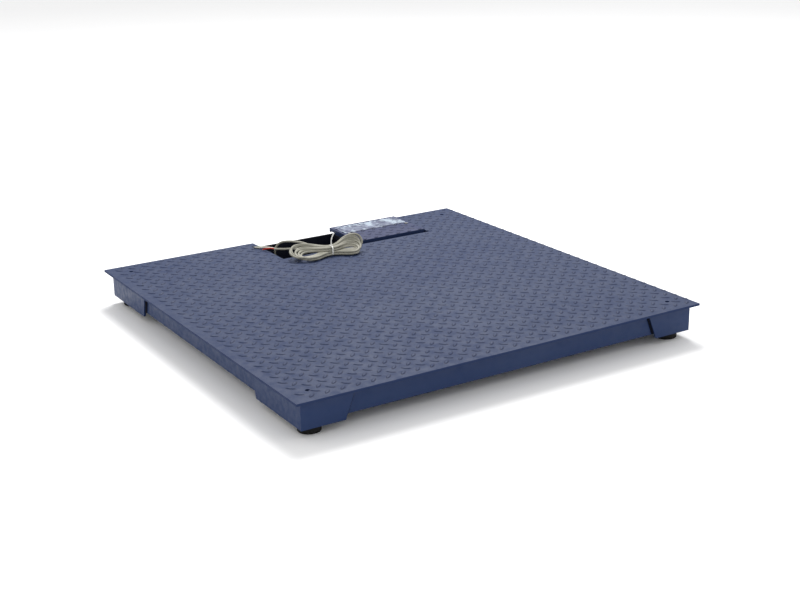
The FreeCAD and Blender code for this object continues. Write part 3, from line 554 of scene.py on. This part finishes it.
signal_cable = cable_curve(
    "signal_cable",
    [Vector(p) for p in LEAD_ROUTE] + hank_points() + [Vector(p) for p in END_ROUTE],
    CABLE_DIAMETER,
    "signal_cable_sheath",
)
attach(signal_cable, "platform")
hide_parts("signal_cable_lead", "signal_cable_hank", "signal_cable_end")


def spline_length(obj):
    """The length of a curve's own line."""
    data = obj.data.copy()
    data.bevel_depth = 0.0
    places = line_places(data)
    return sum((b - a).length for a, b in zip(places, places[1:]))


print("signal cable length", round(spline_length(signal_cable), 3))

# ---- cores at the cable's free end ----

CORE_DIAMETER, SLEEVE_DIAMETER = 2.4 * MM, 4.2 * MM
CORE_ROUTES = {
    "core_red": (
        (-1.4, 1.3),
        ((-0.111, 0.495, 0.1054), (-0.122, 0.500, 0.105), (-0.134, 0.505, 0.1022)),
    ),
    "core_black": (
        (-1.4, -1.3),
        (
            (-0.110, 0.498, 0.1016),
            (-0.126, 0.512, 0.1012),
            (-0.141, 0.527, 0.1014),
            (-0.151, 0.543, 0.106),
        ),
    ),
    "core_white": (
        (1.4, 1.3),
        (
            (-0.108, 0.502, 0.105),
            (-0.119, 0.520, 0.104),
            (-0.130, 0.534, 0.102),
            (-0.143, 0.544, 0.1014),
        ),
    ),
    "core_green": (
        (1.4, -1.3),
        (
            (-0.105, 0.502, 0.1018),
            (-0.110, 0.520, 0.1012),
            (-0.118, 0.537, 0.1012),
            (-0.130, 0.552, 0.1014),
        ),
    ),
}


def make_cores():
    end = Vector(END_ROUTE[-1])
    along = (end - Vector(END_ROUTE[-2])).normalized()
    across = along.cross(Vector((0, 0, 1))).normalized()
    up = across.cross(along)
    cores = []
    for name, ((right, high), route) in CORE_ROUTES.items():
        start = end + across * right * MM + up * high * MM - along * 1 * MM
        points = [start, start + along * 4 * MM] + [Vector(p) for p in route]
        diameter = SLEEVE_DIAMETER if name in ("core_red", "core_white") else CORE_DIAMETER
        core = cable_curve(name, points, diameter, name)
        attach(core, "platform")
        cores.append(core)
    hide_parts("cable_cores")
    return cores


cores = make_cores()


def strap(name, points, wide):
    """A flat strap of the tie's nylon along a path of points. Its width lies along one direction."""
    section = []
    corner = 0.35 * TIE_THICKNESS
    for quarter, (sx, sy) in enumerate(((1, 1), (-1, 1), (-1, -1), (1, -1))):
        for step in range(3):
            turn = quarter * math.pi / 2 + math.pi / 4 * step
            x = sx * (TIE_WIDTH / 2 - corner) + corner * math.cos(turn)
            y = sy * (TIE_THICKNESS / 2 - corner) + corner * math.sin(turn)
            section.append((x, y))
    work = bmesh.new()
    rings = []
    for index, point in enumerate(points):
        ahead = points[min(index + 1, len(points) - 1)] - points[max(index - 1, 0)]
        out = ahead.normalized().cross(wide).normalized()
        rings.append([work.verts.new(point + wide * x + out * y) for x, y in section])
    for lower, upper in zip(rings, rings[1:]):
        for step in range(len(section)):
            after = (step + 1) % len(section)
            work.faces.new((lower[step], lower[after], upper[after], upper[step]))
    work.faces.new(rings[0])
    work.faces.new(rings[-1])
    bmesh.ops.recalc_face_normals(work, faces=work.faces)
    mesh = bpy.data.meshes.new(name)
    work.to_mesh(mesh)
    work.free()
    smooth_by_angle(mesh, 50.0)
    return new_piece(name, mesh, "tie_nylon", "platform")


def smooth_by_angle(mesh, angle):
    mesh.shade_smooth()
    mesh.set_sharp_from_angle(angle=math.radians(angle))


def rounded_box(name, low, high, width, placed):
    """A block of the tie's nylon with rounded edges, between two corners, turned as placed says."""
    work = bmesh.new()
    bmesh.ops.create_cube(work, size=1.0)
    middle, size = (Vector(low) + Vector(high)) / 2, Vector(high) - Vector(low)
    for vert in work.verts:
        vert.co = Vector(a * b for a, b in zip(vert.co, size)) + middle
    bmesh.ops.bevel(work, geom=work.edges[:], offset=width, segments=3, profile=0.5, affect="EDGES")
    work.transform(placed)
    mesh = bpy.data.meshes.new(name)
    work.to_mesh(mesh)
    work.free()
    smooth_by_angle(mesh, 50.0)
    return new_piece(name, mesh, "tie_nylon", "platform")


def cable_tie():
    """The strap round the tied strands, its head on top, and its tail standing up behind the head."""
    low = tied_place(0, 0)[1] - CABLE_DIAMETER / 2 - 0.6 * MM
    high = tied_place(0, 3)[1] + CABLE_DIAMETER / 2 + 0.6 * MM
    near = tied_place(0, 0)[0] - CABLE_DIAMETER / 2 - 0.8 * MM
    far = tied_place(3, 1)[0] + CABLE_DIAMETER / 2 + 0.6 * MM
    radius = 6 * MM
    loop = []
    right, left, top, bottom = far - radius, near + radius, high - radius, low + radius
    for quarter, (across, up) in enumerate(((right, top), (left, top), (left, bottom), (right, bottom))):
        for step in range(7):
            angle = math.pi / 2 * (quarter + step / 6)
            loop.append((across + radius * math.cos(angle), up + radius * math.sin(angle)))
    loop.append(loop[0])
    head_across = TIE_MIDDLE - 1 * MM
    ring = [hank_place(TIE_ALONG, *place) for place in loop]
    band = strap("tie_band", ring, HANK_ALONG)
    tail_route = [
        hank_place(TIE_ALONG, head_across + 1.0 * MM, high - 1.0 * MM),
        hank_place(TIE_ALONG, head_across + 1.5 * MM, high + 9 * MM),
        hank_place(TIE_ALONG + 0.5 * MM, head_across + 0.5 * MM, high + 20 * MM),
        hank_place(TIE_ALONG + 5 * MM, head_across + 2 * MM, high + 31 * MM),
        hank_place(TIE_ALONG + 11 * MM, head_across + 5 * MM, high + 37 * MM),
    ]
    tail_wide = (HANK_ALONG * 0.8 + HANK_ACROSS * -0.25).normalized()
    tail_points = line_places(smooth_curve("guide", tail_route, 8))
    tail = strap("tie_tail", tail_points, tail_wide)
    placed = Matrix.Translation(hank_place(TIE_ALONG, head_across, high))
    placed = placed @ Matrix.Rotation(HANK_TURN, 4, "Z")
    head_low, head_high = (-2.6 * MM, -3.2 * MM, -0.4 * MM), (2.6 * MM, 3.2 * MM, 3.6 * MM)
    head = rounded_box("tie_head", head_low, head_high, 0.7 * MM, placed)
    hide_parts("cable_tie")
    return [band, tail, head]


tie = cable_tie()
spline_length(signal_cable)

# ---- softened metal ----


def node_mesh(name):
    """A copy of a CAD node's mesh, with its triangles joined into flat faces."""
    mesh = nodes[name].data.copy()
    mesh.materials.clear()
    work = bmesh.new()
    work.from_mesh(mesh)
    bmesh.ops.remove_doubles(work, verts=work.verts, dist=0.005 * MM)
    bmesh.ops.dissolve_limit(work, angle_limit=math.radians(1.0), verts=work.verts, edges=work.edges)
    work.to_mesh(mesh)
    work.free()
    return mesh


def bevel(obj, width):
    """Rounds an object's sharp edges for good, and shades the rest smooth."""
    angle = 35.0
    modifier = obj.modifiers.new("bevel", "BEVEL")
    modifier.width = width
    modifier.segments = 2
    modifier.limit_method = "ANGLE"
    modifier.angle_limit = math.radians(angle)
    modifier.use_clamp_overlap = True
    modifier.harden_normals = False
    smooth_by_angle(obj.data, angle)
    weights = obj.modifiers.new("weights", "WEIGHTED_NORMAL")
    weights.keep_sharp = False
    weights.weight = 100
    graph = bpy.context.evaluated_depsgraph_get()
    mesh = bpy.data.meshes.new_from_object(obj.evaluated_get(graph))
    obj.modifiers.clear()
    obj.data = mesh


def soften(name, width, material):
    """Stands a copy with rounded edges in for a CAD node."""
    slot = NODE_SLOTS[name]
    piece = new_piece(f"{name}_soft", node_mesh(name), material or slot, NODE_BODIES[name])
    bevel(piece, width)
    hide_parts(name)


# How far each node's edges are rounded, in millimetres, and which nodes have a paint of their own.
SOFT_EDGES = {
    "deck_plate": 1.3,
    "front_skirt": 1.2,
    "back_skirt": 1.2,
    "left_skirt": 1.2,
    "right_skirt": 1.2,
    "deck_ribs": 1.0,
    "bay_beams": 1.0,
    "bay_tray": 0.5,
    "bay_cover": 0.9,
    "cover_bracket_left": 0.5,
    "cover_bracket_right": 0.5,
    "cell_mount_plates": 1.0,
    "cell_spacers": 0.4,
    "cell_bolts": 0.35,
    "junction_body": 0.6,
    "junction_lid": 0.8,
    "junction_screws": 0.25,
    "terminal_blocks": 0.3,
    "trim_pots": 0.2,
    "circuit_board": 0.2,
    "cell_glands": 0.4,
    "signal_gland": 0.4,
    "cable_clips": 0.2,
    "foot_lock_nuts": 0.5,
    "cover_screws": 0.7,
}
for corner in CORNERS:
    SOFT_EDGES[f"corner_box_{corner}"] = 1.2
    SOFT_EDGES[f"load_cell_{corner}"] = 0.7
    SOFT_EDGES[f"foot_collar_{corner}"] = 0.3
    SOFT_EDGES[f"foot_cup_{corner}"] = 0.3
# The bay's tray, beams and brackets are near-black: painted shade in the bay.
SPECIAL_PAINT = {
    "back_skirt": "half_painted_shade",
    "bay_tray": "primer_as_painted_shade",
    "bay_beams": "primer_as_painted_shade",
    "cover_bracket_left": "primer_as_painted_shade",
    "cover_bracket_right": "primer_as_painted_shade",
    "cover_screws": "dull_zinc",
}
for name, width in SOFT_EDGES.items():
    soften(name, width * MM, SPECIAL_PAINT.get(name))

# ---- treadplate ----

TREAD_PITCH = (40.2 * MM, 41.4 * MM)
TREAD_START = (-567.5 * MM, -552.5 * MM)
LUG_HALF_LENGTH, LUG_HALF_WIDTH = 13.2 * MM, 5.0 * MM
LUG_RINGS = ((1.3, -0.02), (1.0, 0.03), (0.84, 0.26), (0.66, 0.74), (0.44, 0.91), (0.2, 1.0))
LUG_POINTS = 12
BAY_LOW, BAY_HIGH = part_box("bay_tray")
BAY_WALL = 3.0 * MM
ACCESS_HOLE = 0.54
COVER_LUG_HEIGHT = 1.5 * MM
COVER_SCREWS = ((0.167, 0.500), (0.376, 0.500))


def lug_centres(x_low, x_high, y_low, y_high):
    """The places and directions of the tread's lugs: two crossed lattices, a half pitch apart."""
    places = []
    for lattice, angle in ((0.0, -45.0), (0.5, 45.0)):
        first_i = math.floor((x_low - TREAD_START[0]) / TREAD_PITCH[0]) - 1
        last_i = math.ceil((x_high - TREAD_START[0]) / TREAD_PITCH[0]) + 1
        first_j = math.floor((y_low - TREAD_START[1]) / TREAD_PITCH[1]) - 1
        last_j = math.ceil((y_high - TREAD_START[1]) / TREAD_PITCH[1]) + 1
        for i in range(first_i, last_i + 1):
            for j in range(first_j, last_j + 1):
                x = TREAD_START[0] + (i + lattice) * TREAD_PITCH[0]
                y = TREAD_START[1] + (j + lattice) * TREAD_PITCH[1]
                if x_low - LUG_HALF_WIDTH < x < x_high + LUG_HALF_WIDTH:
                    if y_low - LUG_HALF_WIDTH < y < y_high + LUG_HALF_WIDTH:
                        places.append((x, y, math.radians(angle)))
    return places


def add_lug(work, x, y, angle, base, height):
    """One lens-shaped lug with a rolled foot and a rounded crown."""
    along = Vector((math.cos(angle), math.sin(angle)))
    across = Vector((-math.sin(angle), math.cos(angle)))
    rings = []
    for scale, rise in LUG_RINGS:
        ring = []
        for step in range(LUG_POINTS):
            turn = 2 * math.pi * step / LUG_POINTS
            long_way = LUG_HALF_LENGTH * math.cos(turn) * (0.35 + 0.65 * scale)
            short_way = LUG_HALF_WIDTH * math.sin(turn) * abs(math.sin(turn)) ** 0.55 * scale
            spot = Vector((x, y)) + along * long_way + across * short_way
            ring.append(work.verts.new((spot.x, spot.y, base + height * rise)))
        rings.append(ring)
    for lower, upper in zip(rings, rings[1:]):
        for step in range(LUG_POINTS):
            after = (step + 1) % LUG_POINTS
            work.faces.new((lower[step], lower[after], upper[after], upper[step]))
    work.faces.new(rings[-1])


def trim(work, x_low, x_high, y_low, y_high):
    """Cuts a mesh off outside a rectangle."""
    for place, outward in (
        ((x_low, 0, 0), (-1, 0, 0)),
        ((x_high, 0, 0), (1, 0, 0)),
        ((0, y_low, 0), (0, -1, 0)),
        ((0, y_high, 0), (0, 1, 0)),
    ):
        parts = list(work.verts) + list(work.edges) + list(work.faces)
        bmesh.ops.bisect_plane(work, geom=parts, plane_co=place, plane_no=outward, clear_outer=True)


def tread(name, areas, base, height, slot, body, keep_out, soft_sides=()):
    """Lugs over rectangles of a plate, cut at their edges, but whole along the soft sides."""
    whole = bmesh.new()
    for area in areas:
        work = bmesh.new()
        for x, y, angle in lug_centres(*area):
            if all((Vector((x, y)) - Vector(place)).length > reach for place, reach in keep_out):
                add_lug(work, x, y, angle, base, height)
        margin = LUG_HALF_LENGTH
        cut = [-DECK_HALF, DECK_HALF, -DECK_HALF, DECK_HALF]
        for side, outward in enumerate((-1, 1, -1, 1)):
            cut[side] = area[side] if area[side] not in soft_sides else area[side] + outward * margin
        trim(work, *cut)
        part = bpy.data.meshes.new("part")
        work.to_mesh(part)
        whole.from_mesh(part)
        work.free()
        bpy.data.meshes.remove(part)
    mesh = bpy.data.meshes.new(name)
    whole.to_mesh(mesh)
    whole.free()
    mesh.shade_smooth()
    new_piece(name, mesh, slot, body)


def deck_tread():
    """The deck's lugs. The plate was cut so that its front and left edges run clear of the pattern."""
    edge = DECK_HALF - 2.0 * MM
    clear = DECK_HALF - 19.0 * MM
    left, right = BAY_LOW.x + BAY_WALL - 1 * MM, BAY_HIGH.x - BAY_WALL + 1 * MM
    front = BAY_LOW.y + BAY_WALL - 1 * MM
    areas = [
        (-clear, edge, -clear, front),
        (-clear, left, front, edge),
        (right, edge, front, edge),
    ]
    holes = [((sx * ACCESS_HOLE, sy * ACCESS_HOLE), 12.5 * MM) for sx, sy in CORNERS.values()]
    tread("deck_tread", areas, DECK_TOP, LUG_HEIGHT, "deck_paint", "platform", holes, (-clear,))


def cover_tread():
    """The cover's lugs, which stop at the label and stand clear of the screws."""
    edge = 3 * MM
    area = (COVER_LOW.x + edge, COVER_HIGH.x - edge, COVER_LOW.y + edge, LABEL_LOW.y - 1 * MM)
    holes = [(place, 13 * MM) for place in COVER_SCREWS]
    tread("cover_tread", [area], COVER_TOP, COVER_LUG_HEIGHT, "cover_paint", "cover", holes)


def lug_rise(x, y):
    """How high the tread's lugs stand at a place, from 0 to 1, as a soft sheet over them feels it."""
    rise = 0.0
    for centre_x, centre_y, angle in lug_centres(x - 0.02, x + 0.02, y - 0.02, y + 0.02):
        dx, dy = x - centre_x, y - centre_y
        along = (dx * math.cos(angle) + dy * math.sin(angle)) / (LUG_HALF_LENGTH * 1.1)
        across = (-dx * math.sin(angle) + dy * math.cos(angle)) / (LUG_HALF_WIDTH * 1.5)
        reach = along * along + across * across
        if reach < 1:
            rise = max(rise, smooth((1 - reach) * 1.5))
    return rise


def cover_label():
    """A blank film stuck over the cover's tread: it tents over the lugs, and its edges lift."""
    step, corner = 2.2 * MM, 6 * MM
    x_low, x_high, y_low, y_high = LABEL_LOW.x, LABEL_HIGH.x, LABEL_LOW.y, LABEL_HIGH.y
    columns, rows = round((x_high - x_low) / step), round((y_high - y_low) / step)
    work = bmesh.new()
    grid = []
    for j in range(rows + 1):
        line = []
        for i in range(columns + 1):
            x = x_low + (x_high - x_low) * i / columns
            y = y_low + (y_high - y_low) * j / rows
            edge = min(x - x_low, x_high - x, y - y_low, y_high - y)
            inward = Vector((min(x - x_low, x_high - x), min(y - y_low, y_high - y)))
            if inward.x < corner and inward.y < corner:
                away = Vector((corner, corner)) - inward
                if away.length > corner:
                    shrink = corner / away.length
                    x += (away.x - away.x * shrink) * (1 if x - x_low < x_high - x else -1)
                    y += (away.y - away.y * shrink) * (1 if y - y_low < y_high - y else -1)
            curl = smooth(1 - edge / (7 * MM)) * (0.5 + noise.noise(Vector((x * 31, y * 31, 2.0))))
            ripple = 0.25 * noise.noise(Vector((x * 90, y * 140, 5.0)))
            high = 0.25 + 1.25 * lug_rise(x, y) + max(0.0, 1.5 * curl) + ripple * 0.6
            line.append(work.verts.new((x, y, COVER_TOP + max(0.1, high) * MM)))
        grid.append(line)
    for lower, upper in zip(grid, grid[1:]):
        for i in range(columns):
            work.faces.new((lower[i], lower[i + 1], upper[i + 1], upper[i]))
    mesh = bpy.data.meshes.new("label_film")
    work.to_mesh(mesh)
    work.free()
    mesh.shade_smooth()
    film = new_piece("label_film", mesh, "label_plastic", "cover")
    body = film.modifiers.new("body", "SOLIDIFY")
    body.thickness = 0.15 * MM
    body.offset = 0.0
    graph = bpy.context.evaluated_depsgraph_get()
    film.data = bpy.data.meshes.new_from_object(film.evaluated_get(graph))
    film.modifiers.clear()
    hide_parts("cover_label")


deck_tread()
cover_tread()
cover_label()

# ---- feet ----

THREAD_PITCH, THREAD_ROOT, THREAD_CREST = 1.75 * MM, 5.05 * MM, 5.93 * MM
STEM_RADIUS, STEM_MATCH = 5.95 * MM, 0.02 * MM
FLUTES = 36


def foot_pad(corner):
    """The rubber pad: fluted round its side, with a moulded step on top and a seat for the steel cup."""
    low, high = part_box(f"foot_pad_{corner}")
    cup_low, cup_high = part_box(f"foot_cup_{corner}")
    centre = (low + high) / 2
    radius, height = (high.x - low.x) / 2, high.z
    seat = (cup_high.x - cup_low.x) / 2 + 0.1 * MM
    ball_height = cup_low.z + (cup_high.x - cup_low.x) / 2
    profile = [
        (0.0, 0.0),
        (radius - 3.2 * MM, 0.0),
        (radius - 3.0 * MM, 0.7 * MM),
        (radius - 1.8 * MM, 0.7 * MM),
        (radius - 0.8 * MM, 1.0 * MM),
        (radius - 0.2 * MM, 1.8 * MM),
        (radius, 3.0 * MM),
        (radius, height - 7.5 * MM),
        (radius - 0.3 * MM, height - 6.6 * MM),
        (radius - 1.5 * MM, height - 6.0 * MM),
        (radius - 1.7 * MM, height - 1.8 * MM),
        (radius - 2.2 * MM, height - 0.6 * MM),
        (radius - 3.2 * MM, height),
        (seat + 2.2 * MM, height),
        (seat + 1.4 * MM, height - 0.5 * MM),
        (seat + 1.1 * MM, height - 1.4 * MM),
        (seat + 1.0 * MM, ball_height),
    ]
    for step in range(9):
        angle = math.pi / 2 * step / 8
        profile.append((seat * math.cos(angle), ball_height - seat * math.sin(angle)))
    fluted = range(6, 9)
    work = bmesh.new()
    around = FLUTES * 4
    rings = []
    for index, (reach, level) in enumerate(profile):
        ring = []
        for step in range(around):
            angle = 2 * math.pi * step / around
            groove = 0.45 * MM * (step % 4 == 0) if index in fluted else 0.0
            spot = ((reach - groove) * math.cos(angle), (reach - groove) * math.sin(angle), level)
            ring.append(work.verts.new(Vector((centre.x, centre.y, 0)) + Vector(spot)))
        rings.append(ring)
    for lower, upper in zip(rings, rings[1:]):
        for step in range(around):
            after = (step + 1) % around
            work.faces.new((lower[step], lower[after], upper[after], upper[step]))
    bmesh.ops.remove_doubles(work, verts=work.verts, dist=0.001 * MM)
    mesh = bpy.data.meshes.new(f"pad_{corner}")
    work.to_mesh(mesh)
    work.free()
    smooth_by_angle(mesh, 35.0)
    pad = new_piece(f"pad_{corner}", mesh, "foot_rubber", f"foot_{corner}_pad")
    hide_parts(f"foot_pad_{corner}")


def foot_stud(corner):
    """The stud with its real thread, cut down to the root and wound round with the thread's ridge."""
    name = f"foot_stud_{corner}"
    low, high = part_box(name)
    centre = (low + high) / 2
    mesh = node_mesh(name)
    stem_low = high.z
    for vert in mesh.vertices:
        side = Vector((vert.co.x - centre.x, vert.co.y - centre.y))
        if abs(side.length - STEM_RADIUS) < STEM_MATCH:
            stem_low = min(stem_low, vert.co.z)
            side *= (THREAD_ROOT - 0.05 * MM) / side.length
            vert.co.x, vert.co.y = centre.x + side.x, centre.y + side.y
    work = bmesh.new()
    work.from_mesh(mesh)
    rows = 6 * round((high.z - stem_low) / THREAD_PITCH) + 6
    around = 28
    heights = (0.0, 0.0, 0.55, 1.0, 1.0, 0.45)
    rings = []
    for row in range(rows):
        ring = []
        for step in range(around + 1):
            turn = step / around
            level = stem_low + (row / 6 + turn - 1) * THREAD_PITCH
            inside = stem_low + 0.6 * MM < level < high.z - 0.9 * MM
            reach = THREAD_ROOT + (THREAD_CREST - THREAD_ROOT) * heights[row % 6] * inside
            level = min(max(level, stem_low), high.z - 0.1 * MM)
            angle = 2 * math.pi * turn
            x, y = centre.x + reach * math.cos(angle), centre.y + reach * math.sin(angle)
            ring.append(work.verts.new((x, y, level)))
        rings.append(ring)
    for lower, upper in zip(rings, rings[1:]):
        for step in range(around):
            work.faces.new((lower[step], lower[step + 1], upper[step + 1], upper[step]))
    bmesh.ops.remove_doubles(work, verts=work.verts, dist=0.002 * MM)
    work.to_mesh(mesh)
    work.free()
    smooth_by_angle(mesh, 30.0)
    zinc = "zinc_plated_steel"
    stud = new_piece(f"stud_{corner}", mesh, zinc, f"foot_{corner}_stud")
    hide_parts(name)


for corner in CORNERS:
    foot_pad(corner)
    foot_stud(corner)

# ---- welds ----

WELD_RIPPLE = 2.4 * MM
# How far along X and along Y a corner box reaches from its outer face, at its bottom and at its top.
BOX_ENDS = ((115.0 * MM, 143.0 * MM), (228.0 * MM, 247.0 * MM))


def weld(work, start, end, along_face, up_face, leg):
    """A rippled bead in the corner between two faces, from start to end."""
    count = max(4, round((end - start).length / WELD_RIPPLE * 3))
    rings = []
    for index in range(count + 1):
        ripple = 1.0 + 0.12 * math.sin(2 * math.pi * index / 3) - (0.45 if index in (0, count) else 0.0)
        place = start.lerp(end, index / count)
        ring = [work.verts.new(place)]
        for step in range(6):
            angle = math.pi / 2 * step / 5
            swell = leg * ripple * (0.82 + 0.1 * math.sin(2 * angle))
            outward = along_face * math.cos(angle) + up_face * math.sin(angle)
            ring.append(work.verts.new(place + outward * swell))
        rings.append(ring)
    for lower, upper in zip(rings, rings[1:]):
        for step in range(len(lower)):
            after = (step + 1) % len(lower)
            work.faces.new((lower[step], lower[after], upper[after], upper[step]))
    work.faces.new(rings[0])
    work.faces.new(rings[-1])


def corner_welds_painted_shade():
    """The weld bead up each slanted end of the corner boxes, where they stand on the channels,
    near-black as painted shade of the gap there.
    """
    skirt_low, skirt_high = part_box("right_skirt")
    skirt_face = skirt_high.x
    work = bmesh.new()
    for corner, (sx, sy) in CORNERS.items():
        low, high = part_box(f"corner_box_{corner}")
        face = max(abs(low.x), abs(high.x))
        bottom, top = low.z, high.z
        for axis, (reach_low, reach_high) in enumerate(BOX_ENDS):
            ends = []
            for level in (skirt_low.z + 1 * MM, top - 0.5 * MM):
                share = (level - bottom) / (top - bottom)
                reach = face - (reach_low + (reach_high - reach_low) * share)
                x, y = (reach, skirt_face) if axis == 0 else (skirt_face, reach)
                ends.append(Vector((sx * x, sy * y, level)))
            along_face = Vector((-sx, 0, 0)) if axis == 0 else Vector((0, -sy, 0))
            up_face = Vector((0, sy, 0)) if axis == 0 else Vector((sx, 0, 0))
            weld(work, *ends, along_face, up_face, 5.6 * MM)
    bmesh.ops.recalc_face_normals(work, faces=work.faces)
    mesh = bpy.data.meshes.new("corner_welds_painted_shade")
    work.to_mesh(mesh)
    work.free()
    smooth_by_angle(mesh, 60.0)
    # The bead's near-black colour is painted shade of the gap at each box's end.
    new_piece("corner_welds_painted_shade", mesh, "primer_as_painted_shade", "platform")


corner_welds_painted_shade()

# ---- floor, lights ----


def make_stage():
    size = 30.0
    mesh = bpy.data.meshes.new("floor")
    corners = [(-size, -size, 0), (size, -size, 0), (size, size, 0), (-size, size, 0)]
    mesh.from_pydata(corners, [], [(0, 1, 2, 3)])
    floor = bpy.data.objects.new("floor", mesh)
    bpy.context.scene.collection.objects.link(floor)
    s = Shader("floor", roughness=0.9)
    s.colour(s.mix(s.noise(0.6, 3.0), (0.86, 0.86, 0.865), (0.90, 0.90, 0.90)))
    floor.data.materials.append(s.material)
    world = bpy.data.worlds.new("studio")
    bpy.context.scene.world = world
    world.use_nodes = True
    world.node_tree.nodes["Background"].inputs["Color"].default_value = (1.0, 1.0, 1.0, 1.0)
    world.node_tree.nodes["Background"].inputs["Strength"].default_value = 1.0
    bpy.context.scene.view_settings.view_transform = "Standard"


def area_light(name, place, target, size, power, colour=(1, 1, 1)):
    data = bpy.data.lights.new(name, "AREA")
    data.size = size
    data.energy = power
    data.color = colour
    light = bpy.data.objects.new(name, data)
    bpy.context.scene.collection.objects.link(light)
    light.location = place
    light.rotation_mode = "QUATERNION"
    light.rotation_quaternion = (Vector(target) - Vector(place)).to_track_quat("-Z", "Y")


make_stage()
area_light("key", (1.7, 2.7, 4.2), (0, 0, 0.1), 2.0, 260.0)
area_light("fill", (-4.0, 0.6, 1.6), (-0.6, 0, 0.05), 2.0, 6.0, (1.0, 0.9, 0.78))
